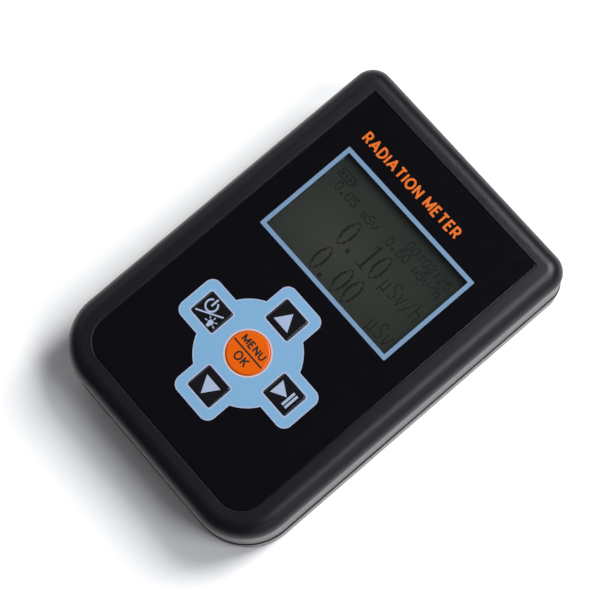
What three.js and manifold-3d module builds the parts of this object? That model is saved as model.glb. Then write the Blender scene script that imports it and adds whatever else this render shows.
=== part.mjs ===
// Hand-held Geiger counter lying on its back, in millimetres.
// +X is the display's right, +Y runs towards the display end, +Z comes out of the face.
// The origin is the middle of the rear face, under the middle of the case's outline.
import * as THREE from "three";
import { mergeVertices } from "three/addons/utils/BufferGeometryUtils.js";
import Module from "manifold-3d";

const wasm = await Module();
wasm.setup();

// ---- Driving dimensions ----

// Case: two moulded shells that meet at a parting plane
const CASE_WIDTH = 85;
const CASE_LENGTH = 125;
const CASE_HEIGHT = 27.5;
const TOP_CORNER = 6.5; // plan radius beside the display
const BOTTOM_CORNER = 16.5; // plan radius beside the keypad
const FACE_EDGE = 5; // bullnose round the face
const REAR_EDGE = 2;
const PARTING_Z = 11.3;
const PARTING_GAP = 0.3;
const FRONT_WALL = 2.2;
const REAR_WALL = 2.4;
const CEILING_Z = 24.9; // inside of the front shell's top wall
const FLOOR_Z = 2.2; // inside of the rear shell's floor
const LIP_RISE = 1.7; // locating lip of the rear shell, above the parting plane
const LIP_INSET = 1.4;
const FIT = 0.25; // clearance round parts that drop into a recess
const SEAT = 0.05; // clearance between faces that rest on each other
const ARC_STEPS = 5; // three.js draws twice this many chords along each arc of the case's plan
const FAR_BELOW = -20; // where a cutter that goes right through starts
const FAR_ABOVE = 40; // and where it ends

// Face label, in a shallow recess of the front shell
const LABEL_WIDTH = 69;
const LABEL_LENGTH = 110;
const LABEL_Y = 0.35;
const LABEL_TOP_CORNER = 0.6;
const LABEL_BOTTOM_CORNER = 8.2;
const RECESS_Z = 27;
const LABEL_Z = 27.05;
const LABEL_THICKNESS = 0.35;

// Display: a stepped clear window over a dot-matrix module
const DISPLAY_Y = 22.2;
const WINDOW_WIDTH = 50.85;
const WINDOW_HEIGHT = 31.25;
const WINDOW_FLANGE = 1.4; // hidden rim under the label
const WINDOW_FLANGE_Z = 25.75;
const GLASS_WIDTH = 56;
const GLASS_HEIGHT = 39;
const GLASS_TOP_Z = 24.8;
const GLASS_THICKNESS = 1.8;
const BEZEL_WALL = 1.1;

// Keypad: four rectangular keys in a plus round one round key
const KEYPAD_Y = -21.9;
const KEY_PITCH_X = 15.72;
const KEY_PITCH_Y = 14.38;
const KEY_WIDTH = 9.3;
const KEY_HEIGHT = 8.2;
const KEY_CORNER = 0.6;
const MENU_RADIUS = 6.46;
const KEY_TOP_Z = 27.75;
const KEY_EDGE = 0.35;
const KEY_GAP = 0.15;
const KEY_FLANGE = 1;
const KEY_FLANGE_Z = 23.85;

// Main board, behind the display and the keys
const BOARD_Z = 17.6;
const BOARD_THICKNESS = 1.6;
const BOARD_TOP_Z = BOARD_Z + BOARD_THICKNESS;
const BOARD_INSET = 3.4;
const BOSS_NOTCH = 4.2; // room for a case screw's boss
const SCREW_HOLE = 1.2;
const SWITCH_SIDE = 6;
const SWITCH_TOP_Z = 22.7;
const PLUNGER_RADIUS = 1.6;
const PLUNGER_BOTTOM_Z = 20.9;

// Case screws, driven from the rear, and board screws, driven from behind the board
const CASE_SCREWS = [
  [-36, 56],
  [36, 56],
  [-33, -53],
  [33, -53],
];
const BOARD_SCREWS = [
  [-24, 49],
  [24, 49],
  [-22, -44],
  [22, -44],
];
const CASE_SCREW = { headRadius: 2.7, headHeight: 1.9, shankRadius: 1.3, headZ: 0.6, tipZ: 20 };
const BOARD_SCREW = { headRadius: 2, headHeight: 1.5, shankRadius: 0.85, tipZ: 23 };
const COUNTERBORE_RADIUS = 3.1;
const COUNTERBORE_Z = 2.6;
const POST_RADIUS = 3.6; // round a case screw, in the rear shell
const POST_FOOT_RADIUS = 4.3; // round its counterbore
const POST_FOOT_Z = 4;
const POST_TOP_Z = 13;
const CLEARANCE_BORE = 1.6;
const BOSS_RADIUS = 3.5; // that the screw bites into, in the front shell
const BOSS_BORE = 1.55;
const BOSS_BORE_Z = 22;
const STANDOFF_RADIUS = 2.6; // round a board screw
const STANDOFF_BORE = 1.1;
const STANDOFF_BORE_Z = 24;

// Two AA cells side by side, behind a door that slides out of the bottom end
const CELL_RADIUS = 7.15;
const CELL_LENGTH = 49;
const CELL_X = 7.5;
const CELL_Y = -30.6;
const CELL_Z = 9.6;
const CELL_EDGE = 0.4;
const BUTTON_RADIUS = 2.7;
const BUTTON = 1.2;
const BAY_HALF = 15.9;
const BAY_TOP_Y = -3;
const BAY_BOTTOM_Y = -58.2;
const BAY_RIB = 1.5;
const BAY_RIB_Z = 13;
const BAY_FOOT_Z = 2.05;
const LEDGE_REACH = 2.5; // past the door's edge
const LEDGE_DEPTH = 3;
const LEDGE_Z = 3.6;
const DOOR_HALF = 18;
const DOOR_TOP_Y = -1;
const DOOR_FACE_Z = 0.2;
const DOOR_BACK_Z = 1.8;
const TONGUE = 1.2;
const TONGUE_Z = [0.85, 1.45];
const GROOVE_Z = [0.65, 1.65];
const GRIP_Y = -52; // the first of five grip grooves
const GRIP_PITCH = 2;
const GRIP_WIDTH = 0.9;
const GRIP_HALF = 8;
const GRIP_Z = 0.7;

// Parts behind the board: the middle of each, its size and its height
const CHIP = { x: -6, y: 24, width: 10, length: 10, height: 1.4 };
const CRYSTAL = { x: -6, y: 36, width: 10.6, length: 4.4, height: 3.6 };
const TRANSFORMER_CORE = { x: -27, y: 6, width: 12, length: 10, height: 8 };
const TRANSFORMER_BOBBIN = { x: -27, y: 6, width: 7, length: 14, height: 6 };
const CAPACITOR = { x: -28, y: -12, radius: 4, height: 11 };

// Counting tube, beside the cells and behind the board
const TUBE_X = 31;
const TUBE_Z = 10.4;
const TUBE_RADIUS = 5;
const TUBE_LENGTH = 84;
const TUBE_CAP = 5; // length of the wider cap at each end
const TUBE_PIN_RADIUS = 0.6;
const TUBE_PIN = 3;
const CLIP_SPREAD = 27;
const CLIP_WIDTH = 6;
const CLIP_THICKNESS = 0.6;
const CLIP_FOOT = 2;

// Sounder, behind its holes in the rear face
const SOUNDER_X = -26;
const SOUNDER_Y = 34;
const SOUNDER_RADIUS = 6;
const SOUNDER_HEIGHT = 9;
const SOUNDER_MOUTH = 1.1;
const SOUNDER_MOUTH_DEPTH = 3;
const SOUND_RING = 3.2;
const SOUND_HOLE = 0.8;

const group = new THREE.Group();

// ---- Finishes ----

const finish = (color, roughness, metalness = 0) =>
  new THREE.MeshStandardMaterial({ color, roughness, metalness });
const CASE_BLACK = () => finish(0x1b1b1f, 0.6);
const LABEL_BLACK = () => finish(0x0c0c10, 0.3);
const CLEAR = () => finish(0x6f7468, 0.05);
const KEY_BLACK = () => finish(0x101014, 0.35);
const KEY_ORANGE = () => finish(0xf47a12, 0.4);
const STEEL = () => finish(0xb9bcc0, 0.35, 1);
const DARK_STEEL = () => finish(0x3a3a3e, 0.4, 1);
const BRASS = () => finish(0xc8a656, 0.35, 1);
const BOARD_GREEN = () => finish(0x14522f, 0.5);
const CHIP_BLACK = () => finish(0x18181a, 0.5);
const CELL_JACKET = () => finish(0x35507a, 0.3);
const LCD_GREY = () => finish(0x62665a, 0.15);
const WHITE_PLASTIC = () => finish(0xe8e8e4, 0.5);

// ---- Solid helpers ----

// A closed geometry as a manifold solid.
function solid(geometry) {
  const bare = geometry.index ? geometry.toNonIndexed() : geometry.clone();
  bare.deleteAttribute("normal");
  bare.deleteAttribute("uv");
  const merged = mergeVertices(bare, 1e-4);
  const mesh = new wasm.Mesh({
    numProp: 3,
    vertProperties: merged.attributes.position.array,
    triVerts: new Uint32Array(merged.index.array),
  });
  return new wasm.Manifold(mesh);
}

// A manifold solid as a three.js geometry.
function geometryOf(body) {
  const mesh = body.getMesh();
  const geometry = new THREE.BufferGeometry();
  geometry.setAttribute("position", new THREE.BufferAttribute(mesh.vertProperties, 3));
  geometry.setIndex(new THREE.BufferAttribute(mesh.triVerts, 1));
  geometry.computeVertexNormals();
  return geometry;
}

function addPart(name, body, material) {
  const mesh = new THREE.Mesh(geometryOf(body), material);
  mesh.name = name;
  group.add(mesh);
}

const join = (bodies) => bodies.reduce((sum, body) => sum.add(body));
const cut = (body, tools) => tools.reduce((rest, tool) => rest.subtract(tool), body);

// A block given by its lowest and highest corners.
function block([x0, y0, z0], [x1, y1, z1]) {
  const box = new THREE.BoxGeometry(x1 - x0, y1 - y0, z1 - z0);
  box.translate((x0 + x1) / 2, (y0 + y1) / 2, (z0 + z1) / 2);
  return solid(box);
}

// An upright rod.
function rod(x, y, radius, z0, z1, sides = 16) {
  const cylinder = new THREE.CylinderGeometry(radius, radius, z1 - z0, sides);
  cylinder.rotateX(Math.PI / 2);
  cylinder.translate(x, y, (z0 + z1) / 2);
  return solid(cylinder);
}

// A solid of revolution whose axis lies along Y; the profile holds [radius, y] pairs.
function turned(x, y, z, profile, sides = 24) {
  const points = profile.map(([radius, along]) => new THREE.Vector2(radius, along));
  const lathe = new THREE.LatheGeometry(points, sides);
  lathe.translate(x, y, z);
  return solid(lathe);
}

// A rectangle with separate corner radii at its top and bottom edges.
function plate(cx, cy, width, height, topRadius, bottomRadius = topRadius) {
  const [left, right] = [cx - width / 2, cx + width / 2];
  const [low, high] = [cy - height / 2, cy + height / 2];
  const quarter = Math.PI / 2;
  const shape = new THREE.Shape();
  shape.moveTo(right, low + bottomRadius);
  shape.lineTo(right, high - topRadius);
  shape.absarc(right - topRadius, high - topRadius, topRadius, 0, quarter);
  shape.lineTo(left + topRadius, high);
  shape.absarc(left + topRadius, high - topRadius, topRadius, quarter, 2 * quarter);
  shape.lineTo(left, low + bottomRadius);
  shape.absarc(left + bottomRadius, low + bottomRadius, bottomRadius, 2 * quarter, 3 * quarter);
  shape.lineTo(right - bottomRadius, low);
  shape.absarc(right - bottomRadius, low + bottomRadius, bottomRadius, 3 * quarter, 4 * quarter);
  return shape;
}

function disc(cx, cy, radius) {
  return new THREE.Shape().absarc(cx, cy, radius, 0, 2 * Math.PI);
}

// An upright prism of a plan shape.
function prism(shape, z0, z1, curveSegments = 4) {
  const extruded = new THREE.ExtrudeGeometry(shape, {
    depth: z1 - z0,
    bevelEnabled: false,
    curveSegments,
  });
  extruded.translate(0, 0, z0);
  return solid(extruded);
}

// The same with its upper and lower edges rounded; the plan is the part's widest section.
function softPrism(planWithin, edge, z0, z1, bevelSegments, curveSegments) {
  const extruded = new THREE.ExtrudeGeometry(planWithin(edge), {
    depth: z1 - z0 - 2 * edge,
    bevelThickness: edge,
    bevelSize: edge,
    bevelSegments,
    curveSegments,
  });
  extruded.translate(0, 0, z0 + edge);
  return solid(extruded);
}

// The case's plan, moved inwards by an inset.
function casePlan(inset) {
  const width = CASE_WIDTH - 2 * inset;
  const length = CASE_LENGTH - 2 * inset;
  return plate(0, 0, width, length, TOP_CORNER - inset, BOTTOM_CORNER - inset);
}

function labelPlan(outset) {
  const width = LABEL_WIDTH + 2 * outset;
  const length = LABEL_LENGTH + 2 * outset;
  const top = LABEL_TOP_CORNER + outset;
  return plate(0, LABEL_Y, width, length, top, LABEL_BOTTOM_CORNER + outset);
}

// ---- Keys ----

const KEYS = [
  { name: "up", x: 0, y: KEYPAD_Y + KEY_PITCH_Y },
  { name: "down", x: 0, y: KEYPAD_Y - KEY_PITCH_Y },
  { name: "power", x: -KEY_PITCH_X, y: KEYPAD_Y },
  { name: "play", x: KEY_PITCH_X, y: KEYPAD_Y },
  { name: "menu", x: 0, y: KEYPAD_Y, round: true },
];

// A key's plan, grown by an outset all round.
function keyPlan(key, outset) {
  if (key.round) return disc(key.x, key.y, MENU_RADIUS + outset);
  const corner = Math.max(KEY_CORNER + outset, 0.1);
  return plate(key.x, key.y, KEY_WIDTH + 2 * outset, KEY_HEIGHT + 2 * outset, corner);
}

const keySegments = (key) => (key.round ? 16 : 2);

// ---- Case ----

function frontShell() {
  const outer = softPrism(casePlan, FACE_EDGE, FAR_BELOW, CASE_HEIGHT, 6, ARC_STEPS);
  const below = block(
    [-CASE_WIDTH, -CASE_LENGTH, 2 * FAR_BELOW],
    [CASE_WIDTH, CASE_LENGTH, PARTING_Z + PARTING_GAP / 2],
  );
  const cavity = prism(casePlan(FRONT_WALL), 0, CEILING_Z, ARC_STEPS);
  const rabbet = prism(casePlan(LIP_INSET - FIT), 0, PARTING_Z + LIP_RISE + FIT, ARC_STEPS);
  const recess = prism(labelPlan(FIT), RECESS_Z, FAR_ABOVE);
  const keyHoles = KEYS.map((key) => prism(keyPlan(key, FIT), 0, FAR_ABOVE, keySegments(key)));
  const hollow = cut(outer, [below, cavity, rabbet, recess, ...windowOpening(), ...keyHoles]);
  const root = CEILING_Z + 1; // inside the top wall
  const bossFoot = POST_TOP_Z + PARTING_GAP;
  const bosses = CASE_SCREWS.map(([x, y]) => rod(x, y, BOSS_RADIUS, bossFoot, root));
  const bores = CASE_SCREWS.map(([x, y]) => rod(x, y, BOSS_BORE, 0, BOSS_BORE_Z));
  const standoffFoot = BOARD_TOP_Z + SEAT;
  const standoffs = BOARD_SCREWS.map(([x, y]) => rod(x, y, STANDOFF_RADIUS, standoffFoot, root));
  const pilots = BOARD_SCREWS.map(([x, y]) => rod(x, y, STANDOFF_BORE, 0, STANDOFF_BORE_Z, 12));
  return cut(join([hollow, ...bosses, ...standoffs]), [...bores, ...pilots]);
}

// The step that the window's rim sits in, and the opening through it.
function windowOpening() {
  const rim = 2 * (WINDOW_FLANGE + FIT);
  const seat = plate(0, DISPLAY_Y, WINDOW_WIDTH + rim, WINDOW_HEIGHT + rim, 0.8);
  const through = plate(0, DISPLAY_Y, WINDOW_WIDTH + 0.6, WINDOW_HEIGHT + 0.6, 0.5);
  return [prism(seat, WINDOW_FLANGE_Z - SEAT, FAR_ABOVE, 1), prism(through, 0, FAR_ABOVE, 1)];
}

function rearEnvelope() {
  return softPrism(casePlan, REAR_EDGE, 0, CASE_HEIGHT, 3, ARC_STEPS);
}

function rearShell() {
  const above = block(
    [-CASE_WIDTH, -CASE_LENGTH, PARTING_Z - PARTING_GAP / 2],
    [CASE_WIDTH, CASE_LENGTH, FAR_ABOVE],
  );
  const cavity = prism(casePlan(REAR_WALL), FLOOR_Z, FAR_ABOVE, ARC_STEPS);
  const lipPlan = casePlan(LIP_INSET);
  lipPlan.holes.push(new THREE.Path(casePlan(REAR_WALL).getPoints(ARC_STEPS)));
  const lip = prism(lipPlan, PARTING_Z - 1, PARTING_Z + LIP_RISE, ARC_STEPS);
  const root = FLOOR_Z - 0.5; // inside the rear wall
  const posts = CASE_SCREWS.map(([x, y]) => rod(x, y, POST_RADIUS, root, POST_TOP_Z));
  const feet = CASE_SCREWS.map(([x, y]) => rod(x, y, POST_FOOT_RADIUS, root, POST_FOOT_Z));
  const bores = CASE_SCREWS.map(([x, y]) => rod(x, y, CLEARANCE_BORE, FAR_BELOW, FAR_ABOVE));
  const counterbores = CASE_SCREWS.map(([x, y]) =>
    rod(x, y, COUNTERBORE_RADIUS, FAR_BELOW, COUNTERBORE_Z),
  );
  const shell = join([cut(rearEnvelope(), [above, cavity]), lip, ...posts, ...feet, ...batteryBay()]);
  return cut(shell, [...bores, ...counterbores, ...doorway(), ...soundHoles()]);
}

// Ribs that hold the cells, on a ledge that bridges the doorway's edges.
function batteryBay() {
  const ledgeX = DOOR_HALF + LEDGE_REACH;
  const ledgeTop = BAY_TOP_Y + LEDGE_DEPTH;
  const sides = [-1, 1].flatMap((side) => {
    const [a, b, c] = [BAY_HALF, BAY_HALF + BAY_RIB, ledgeX].map((x) => side * x);
    const [ribLow, ribHigh] = [Math.min(a, b), Math.max(a, b)];
    const [ledgeLow, ledgeHigh] = [Math.min(a, c), Math.max(a, c)];
    return [
      block([ribLow, BAY_BOTTOM_Y, BAY_FOOT_Z], [ribHigh, BAY_TOP_Y, BAY_RIB_Z]),
      block([ledgeLow, BAY_BOTTOM_Y - LEDGE_DEPTH, BAY_FOOT_Z], [ledgeHigh, ledgeTop, LEDGE_Z]),
    ];
  });
  const half = BAY_HALF + BAY_RIB;
  const topRib = block([-half, BAY_TOP_Y, BAY_FOOT_Z], [half, BAY_TOP_Y + BAY_RIB, BAY_RIB_Z]);
  const topLedge = block([-ledgeX, BAY_TOP_Y, BAY_FOOT_Z], [ledgeX, ledgeTop, LEDGE_Z]);
  const bottomLow = [-half, BAY_BOTTOM_Y - BAY_RIB, BAY_FOOT_Z];
  const bottomRib = block(bottomLow, [half, BAY_BOTTOM_Y, BAY_RIB_Z]);
  return [...sides, topRib, topLedge, bottomRib];
}

// The door's space in the rear face, a groove along each side of it for the door's tongues, and
// the opening behind it that the cells go in through.
function doorway() {
  const half = DOOR_HALF + FIT;
  const top = DOOR_TOP_Y + FIT;
  const deep = DOOR_BACK_Z + FIT;
  const groove = half + TONGUE;
  return [
    block([-half, -CASE_LENGTH, FAR_BELOW], [half, top, deep]),
    block([-groove, -CASE_LENGTH, GROOVE_Z[0]], [groove, top, GROOVE_Z[1]]),
    block([-BAY_HALF, BAY_BOTTOM_Y, FAR_BELOW], [BAY_HALF, BAY_TOP_Y, LEDGE_Z]),
  ];
}

function soundHoles() {
  const ring = [0, 1, 2, 3, 4, 5].map((n) => (n * Math.PI) / 3);
  const centres = [[0, 0], ...ring.map((a) => [SOUND_RING * Math.cos(a), SOUND_RING * Math.sin(a)])];
  return centres.map(([dx, dy]) =>
    rod(SOUNDER_X + dx, SOUNDER_Y + dy, SOUND_HOLE, FAR_BELOW, FLOOR_Z + 1, 12),
  );
}

function batteryDoor() {
  const space = block([-DOOR_HALF, -CASE_LENGTH, DOOR_FACE_Z], [DOOR_HALF, DOOR_TOP_Y, DOOR_BACK_Z]);
  const panel = rearEnvelope().intersect(space);
  const reach = DOOR_HALF + TONGUE;
  const tongues = block([-reach, BAY_BOTTOM_Y, TONGUE_Z[0]], [reach, DOOR_TOP_Y - 3, TONGUE_Z[1]]);
  const grips = [0, 1, 2, 3, 4].map((n) => {
    const y = GRIP_Y + n * GRIP_PITCH;
    return block([-GRIP_HALF, y, FAR_BELOW], [GRIP_HALF, y + GRIP_WIDTH, GRIP_Z]);
  });
  return cut(join([panel, tongues]), grips);
}

// A pan-head screw with its point up and a cross recess in its head.
function screw([x, y], { headRadius, headHeight, shankRadius, headZ, tipZ }) {
  const head = rod(x, y, headRadius, headZ, headZ + headHeight);
  const shank = rod(x, y, shankRadius, headZ + headHeight / 2, tipZ, 16);
  const arm = 0.62 * headRadius;
  const slot = 0.16 * headRadius;
  const depth = headZ + 0.6 * headHeight;
  const cross = [
    block([x - arm, y - slot, headZ - 1], [x + arm, y + slot, depth]),
    block([x - slot, y - arm, headZ - 1], [x + slot, y + arm, depth]),
  ];
  return cut(head.add(shank), cross);
}

// ---- Face ----

function faceLabel() {
  const top = LABEL_Z + LABEL_THICKNESS;
  const sheet = prism(labelPlan(0), LABEL_Z, top);
  const screen = plate(0, DISPLAY_Y, WINDOW_WIDTH, WINDOW_HEIGHT, 0.3);
  const keyHoles = KEYS.map((key) =>
    prism(keyPlan(key, KEY_GAP), 0, FAR_ABOVE, keySegments(key)),
  );
  return cut(sheet, [prism(screen, 0, FAR_ABOVE, 1), ...keyHoles]);
}

function displayWindow() {
  const rim = 2 * WINDOW_FLANGE;
  const flange = plate(0, DISPLAY_Y, WINDOW_WIDTH + rim, WINDOW_HEIGHT + rim, 0.6);
  const pane = plate(0, DISPLAY_Y, WINDOW_WIDTH - 0.3, WINDOW_HEIGHT - 0.3, 0.2);
  const paneTop = LABEL_Z + LABEL_THICKNESS;
  return prism(flange, WINDOW_FLANGE_Z, RECESS_Z - SEAT, 1).add(
    prism(pane, WINDOW_FLANGE_Z, paneTop, 1),
  );
}

function keyCap(key) {
  const flange = prism(keyPlan(key, KEY_FLANGE), KEY_FLANGE_Z, CEILING_Z - SEAT, keySegments(key));
  const headPlan = (inset) => keyPlan(key, -inset);
  const segments = keySegments(key);
  const head = softPrism(headPlan, KEY_EDGE, KEY_FLANGE_Z, KEY_TOP_Z, 2, segments);
  return flange.add(head);
}

function plunger(key) {
  return rod(key.x, key.y, PLUNGER_RADIUS, PLUNGER_BOTTOM_Z, KEY_FLANGE_Z - SEAT, 16);
}

function switchBody(key) {
  const half = SWITCH_SIDE / 2;
  const low = [key.x - half, key.y - half, BOARD_TOP_Z + SEAT];
  const high = [key.x + half, key.y + half, SWITCH_TOP_Z];
  const bore = rod(key.x, key.y, PLUNGER_RADIUS + 0.2, PLUNGER_BOTTOM_Z - 0.8, SWITCH_TOP_Z + 1, 16);
  return block(low, high).subtract(bore);
}

// ---- Display module ----

function lcdGlass() {
  const bottom = GLASS_TOP_Z - GLASS_THICKNESS;
  return prism(plate(0, DISPLAY_Y, GLASS_WIDTH, GLASS_HEIGHT, 0.3), bottom, GLASS_TOP_Z, 1);
}

function lcdBezel() {
  const inner = [GLASS_WIDTH + 2 * FIT, GLASS_HEIGHT + 2 * FIT];
  const outer = inner.map((side) => side + 2 * BEZEL_WALL);
  const wall = prism(plate(0, DISPLAY_Y, ...outer, 1.2), BOARD_TOP_Z + SEAT, GLASS_TOP_Z - 0.2, 2);
  return wall.subtract(prism(plate(0, DISPLAY_Y, ...inner, 0.3), 0, CASE_HEIGHT, 1));
}

// The elastomer strip joins the glass's lower edge to the board, below the light guide.
const STRIP_DEPTH = 2.2;

function lcdBacklight() {
  const low = DISPLAY_Y - GLASS_HEIGHT / 2 + STRIP_DEPTH + 0.6;
  const high = DISPLAY_Y + GLASS_HEIGHT / 2;
  const half = GLASS_WIDTH / 2;
  const top = GLASS_TOP_Z - GLASS_THICKNESS - SEAT;
  return block([-half, low, BOARD_TOP_Z + SEAT], [half, high, top]);
}

function lcdContactStrip() {
  const low = DISPLAY_Y - GLASS_HEIGHT / 2;
  const half = GLASS_WIDTH / 2 - 1;
  const top = GLASS_TOP_Z - GLASS_THICKNESS - SEAT;
  return block([-half, low, BOARD_TOP_Z + SEAT], [half, low + STRIP_DEPTH, top]);
}

// ---- Board and what is soldered to it ----

function mainBoard() {
  const sheet = prism(casePlan(BOARD_INSET), BOARD_Z, BOARD_TOP_Z, ARC_STEPS);
  const notches = CASE_SCREWS.map(([x, y]) => rod(x, y, BOSS_NOTCH, 0, CASE_HEIGHT));
  const holes = BOARD_SCREWS.map(([x, y]) => rod(x, y, SCREW_HOLE, 0, CASE_HEIGHT, 12));
  return cut(sheet, [...notches, ...holes]);
}

// A block hanging behind the board.
function behindBoard({ x, y, width, length, height }) {
  const top = BOARD_Z - SEAT;
  return block([x - width / 2, y - length / 2, top - height], [x + width / 2, y + length / 2, top]);
}

function microcontroller() {
  return behindBoard(CHIP);
}

function crystal() {
  const { x, y, width, length, height } = CRYSTAL;
  return prism(plate(x, y, width, length, 0.45 * length), BOARD_Z - height, BOARD_Z - SEAT);
}

function hvTransformer() {
  return behindBoard(TRANSFORMER_CORE).add(behindBoard(TRANSFORMER_BOBBIN));
}

function hvCapacitor() {
  const { x, y, radius, height } = CAPACITOR;
  return rod(x, y, radius, BOARD_Z - height, BOARD_Z - SEAT);
}

function sounder() {
  const foot = BOARD_Z - SOUNDER_HEIGHT;
  const can = rod(SOUNDER_X, SOUNDER_Y, SOUNDER_RADIUS, foot, BOARD_Z - SEAT, 32);
  return can.subtract(
    rod(SOUNDER_X, SOUNDER_Y, SOUNDER_MOUTH, FAR_BELOW, foot + SOUNDER_MOUTH_DEPTH, 12),
  );
}

// ---- Counting tube and its clips ----

function geigerTube() {
  const half = TUBE_LENGTH / 2;
  const step = 0.3; // from the caps down to the tube's own wall
  const upper = [
    [TUBE_RADIUS - step, half - TUBE_CAP - step],
    [TUBE_RADIUS, half - TUBE_CAP],
    [TUBE_RADIUS, half],
    [TUBE_PIN_RADIUS, half],
    [TUBE_PIN_RADIUS, half + TUBE_PIN],
    [0, half + TUBE_PIN],
  ];
  const lower = upper.map(([radius, along]) => [radius, -along]).reverse();
  return turned(TUBE_X, 0, TUBE_Z, [...lower, ...upper]);
}

// A spring clip: an open ring round the tube with a foot on the board.
function tubeClip(side) {
  const inner = TUBE_RADIUS + 0.1;
  const outer = inner + CLIP_THICKNESS;
  const mouth = 0.9; // half angle of the opening that faces the rear
  const from = -Math.PI / 2 + mouth;
  const to = (3 * Math.PI) / 2 - mouth;
  const ring = new THREE.Shape();
  ring.absarc(0, 0, outer, from, to);
  ring.absarc(0, 0, inner, to, from, true);
  const band = new THREE.ExtrudeGeometry(ring, {
    depth: CLIP_WIDTH,
    bevelEnabled: false,
    curveSegments: 10,
  });
  const [near, far] = [-1, 1].map((end) => side * CLIP_SPREAD + (end * CLIP_WIDTH) / 2);
  band.rotateX(Math.PI / 2);
  band.translate(TUBE_X, far, TUBE_Z);
  const low = [TUBE_X - CLIP_FOOT, near, TUBE_Z + outer - CLIP_THICKNESS / 2];
  const high = [TUBE_X + CLIP_FOOT, far, BOARD_Z - SEAT];
  return solid(band).add(block(low, high));
}

// ---- Cells and contacts ----

// An AA cell; its raised button points along the given side.
function cell(x, side) {
  const half = (side * CELL_LENGTH) / 2;
  const profile = [
    [0, -half],
    [CELL_RADIUS - CELL_EDGE, -half],
    [CELL_RADIUS, -half + side * CELL_EDGE],
    [CELL_RADIUS, half - side * CELL_EDGE],
    [CELL_RADIUS - CELL_EDGE, half],
    [BUTTON_RADIUS, half],
    [BUTTON_RADIUS, half + side * BUTTON],
    [0, half + side * BUTTON],
  ];
  return turned(x, CELL_Y, CELL_Z, side > 0 ? profile : profile.reverse());
}

const CONTACT_TOP_Y = BAY_TOP_Y - 0.5;
const CONTACT_BOTTOM_Y = BAY_BOTTOM_Y + 0.1;
const CONTACT_THICKNESS = 0.4;
const CONTACT_HALF = 5;
const BRIDGE_HALF = 14;
const CONTACT_Z = [4, 15.5];
const SPRING_TURNS = 2.5;
const SPRING_RADII = [3.4, 2.5]; // at the plate and at the cell
const SPRING_WIRE = 0.3;

function contactPlate(x, halfWidth, y) {
  const far = y + CONTACT_THICKNESS;
  return block([x - halfWidth, y, CONTACT_Z[0]], [x + halfWidth, far, CONTACT_Z[1]]);
}

// A coil spring between a contact plate and the flat end of a cell.
function contactSpring(x, fromY, toY) {
  class Coil extends THREE.Curve {
    getPoint(t, target = new THREE.Vector3()) {
      const angle = 2 * Math.PI * SPRING_TURNS * t;
      const radius = SPRING_RADII[0] + (SPRING_RADII[1] - SPRING_RADII[0]) * t;
      const y = fromY + (toY - fromY) * t;
      return target.set(x + radius * Math.cos(angle), y, CELL_Z + radius * Math.sin(angle));
    }
  }
  const wire = disc(0, 0, SPRING_WIRE);
  const coil = new THREE.ExtrudeGeometry(wire, {
    steps: 30,
    curveSegments: 4,
    extrudePath: new Coil(),
  });
  return solid(coil);
}

// ---- Assembly ----

addPart("front_shell", frontShell(), CASE_BLACK());
addPart("rear_shell", rearShell(), CASE_BLACK());
addPart("battery_door", batteryDoor(), CASE_BLACK());
addPart("face_label", faceLabel(), LABEL_BLACK());
addPart("display_window", displayWindow(), CLEAR());

for (const key of KEYS) {
  addPart("key_" + key.name, keyCap(key), key.round ? KEY_ORANGE() : KEY_BLACK());
  addPart("plunger_" + key.name, plunger(key), CHIP_BLACK());
  addPart("switch_" + key.name, switchBody(key), CHIP_BLACK());
}

addPart("lcd_glass", lcdGlass(), LCD_GREY());
addPart("lcd_bezel", lcdBezel(), STEEL());
addPart("lcd_backlight", lcdBacklight(), WHITE_PLASTIC());
addPart("lcd_contact_strip", lcdContactStrip(), CHIP_BLACK());

addPart("main_board", mainBoard(), BOARD_GREEN());
addPart("microcontroller", microcontroller(), CHIP_BLACK());
addPart("crystal", crystal(), STEEL());
addPart("hv_transformer", hvTransformer(), CHIP_BLACK());
addPart("hv_capacitor", hvCapacitor(), BRASS());
addPart("sounder", sounder(), CHIP_BLACK());

addPart("geiger_tube", geigerTube(), BRASS());
addPart("tube_clip_1", tubeClip(-1), STEEL());
addPart("tube_clip_2", tubeClip(1), STEEL());

addPart("cell_1", cell(-CELL_X, 1), CELL_JACKET());
addPart("cell_2", cell(CELL_X, -1), CELL_JACKET());
addPart("contact_positive", contactPlate(-CELL_X, CONTACT_HALF, CONTACT_TOP_Y), STEEL());
addPart("contact_negative", contactPlate(CELL_X, CONTACT_HALF, CONTACT_TOP_Y), STEEL());
addPart("contact_bridge", contactPlate(0, BRIDGE_HALF, CONTACT_BOTTOM_Y), STEEL());
const wireRoom = SPRING_WIRE + SEAT;
const cellEnd = CELL_LENGTH / 2 + wireRoom;
const bridgeFace = CONTACT_BOTTOM_Y + CONTACT_THICKNESS;
const lowerSpring = contactSpring(-CELL_X, bridgeFace + wireRoom, CELL_Y - cellEnd);
const upperSpring = contactSpring(CELL_X, CONTACT_TOP_Y - wireRoom, CELL_Y + cellEnd);
addPart("contact_spring_1", lowerSpring, STEEL());
addPart("contact_spring_2", upperSpring, STEEL());

CASE_SCREWS.forEach((place, n) => {
  addPart("case_screw_" + (n + 1), screw(place, CASE_SCREW), DARK_STEEL());
});
BOARD_SCREWS.forEach((place, n) => {
  const headZ = BOARD_Z - SEAT - BOARD_SCREW.headHeight;
  addPart("board_screw_" + (n + 1), screw(place, { ...BOARD_SCREW, headZ }), STEEL());
});

export default group;
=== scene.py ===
# %% [markdown]
# # A hand-held Geiger counter
# A two-part black case with a printed film on its face, a grey-green dot-matrix display and five keys on a
# pale blue pad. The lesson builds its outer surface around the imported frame, piece by piece. Everything is
# in metres: +X is the display's right, +Y runs towards the display end and +Z comes out of the face.

# %% Load the frame
import math

import bmesh
import bpy
from mathutils import Matrix, Vector


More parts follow.
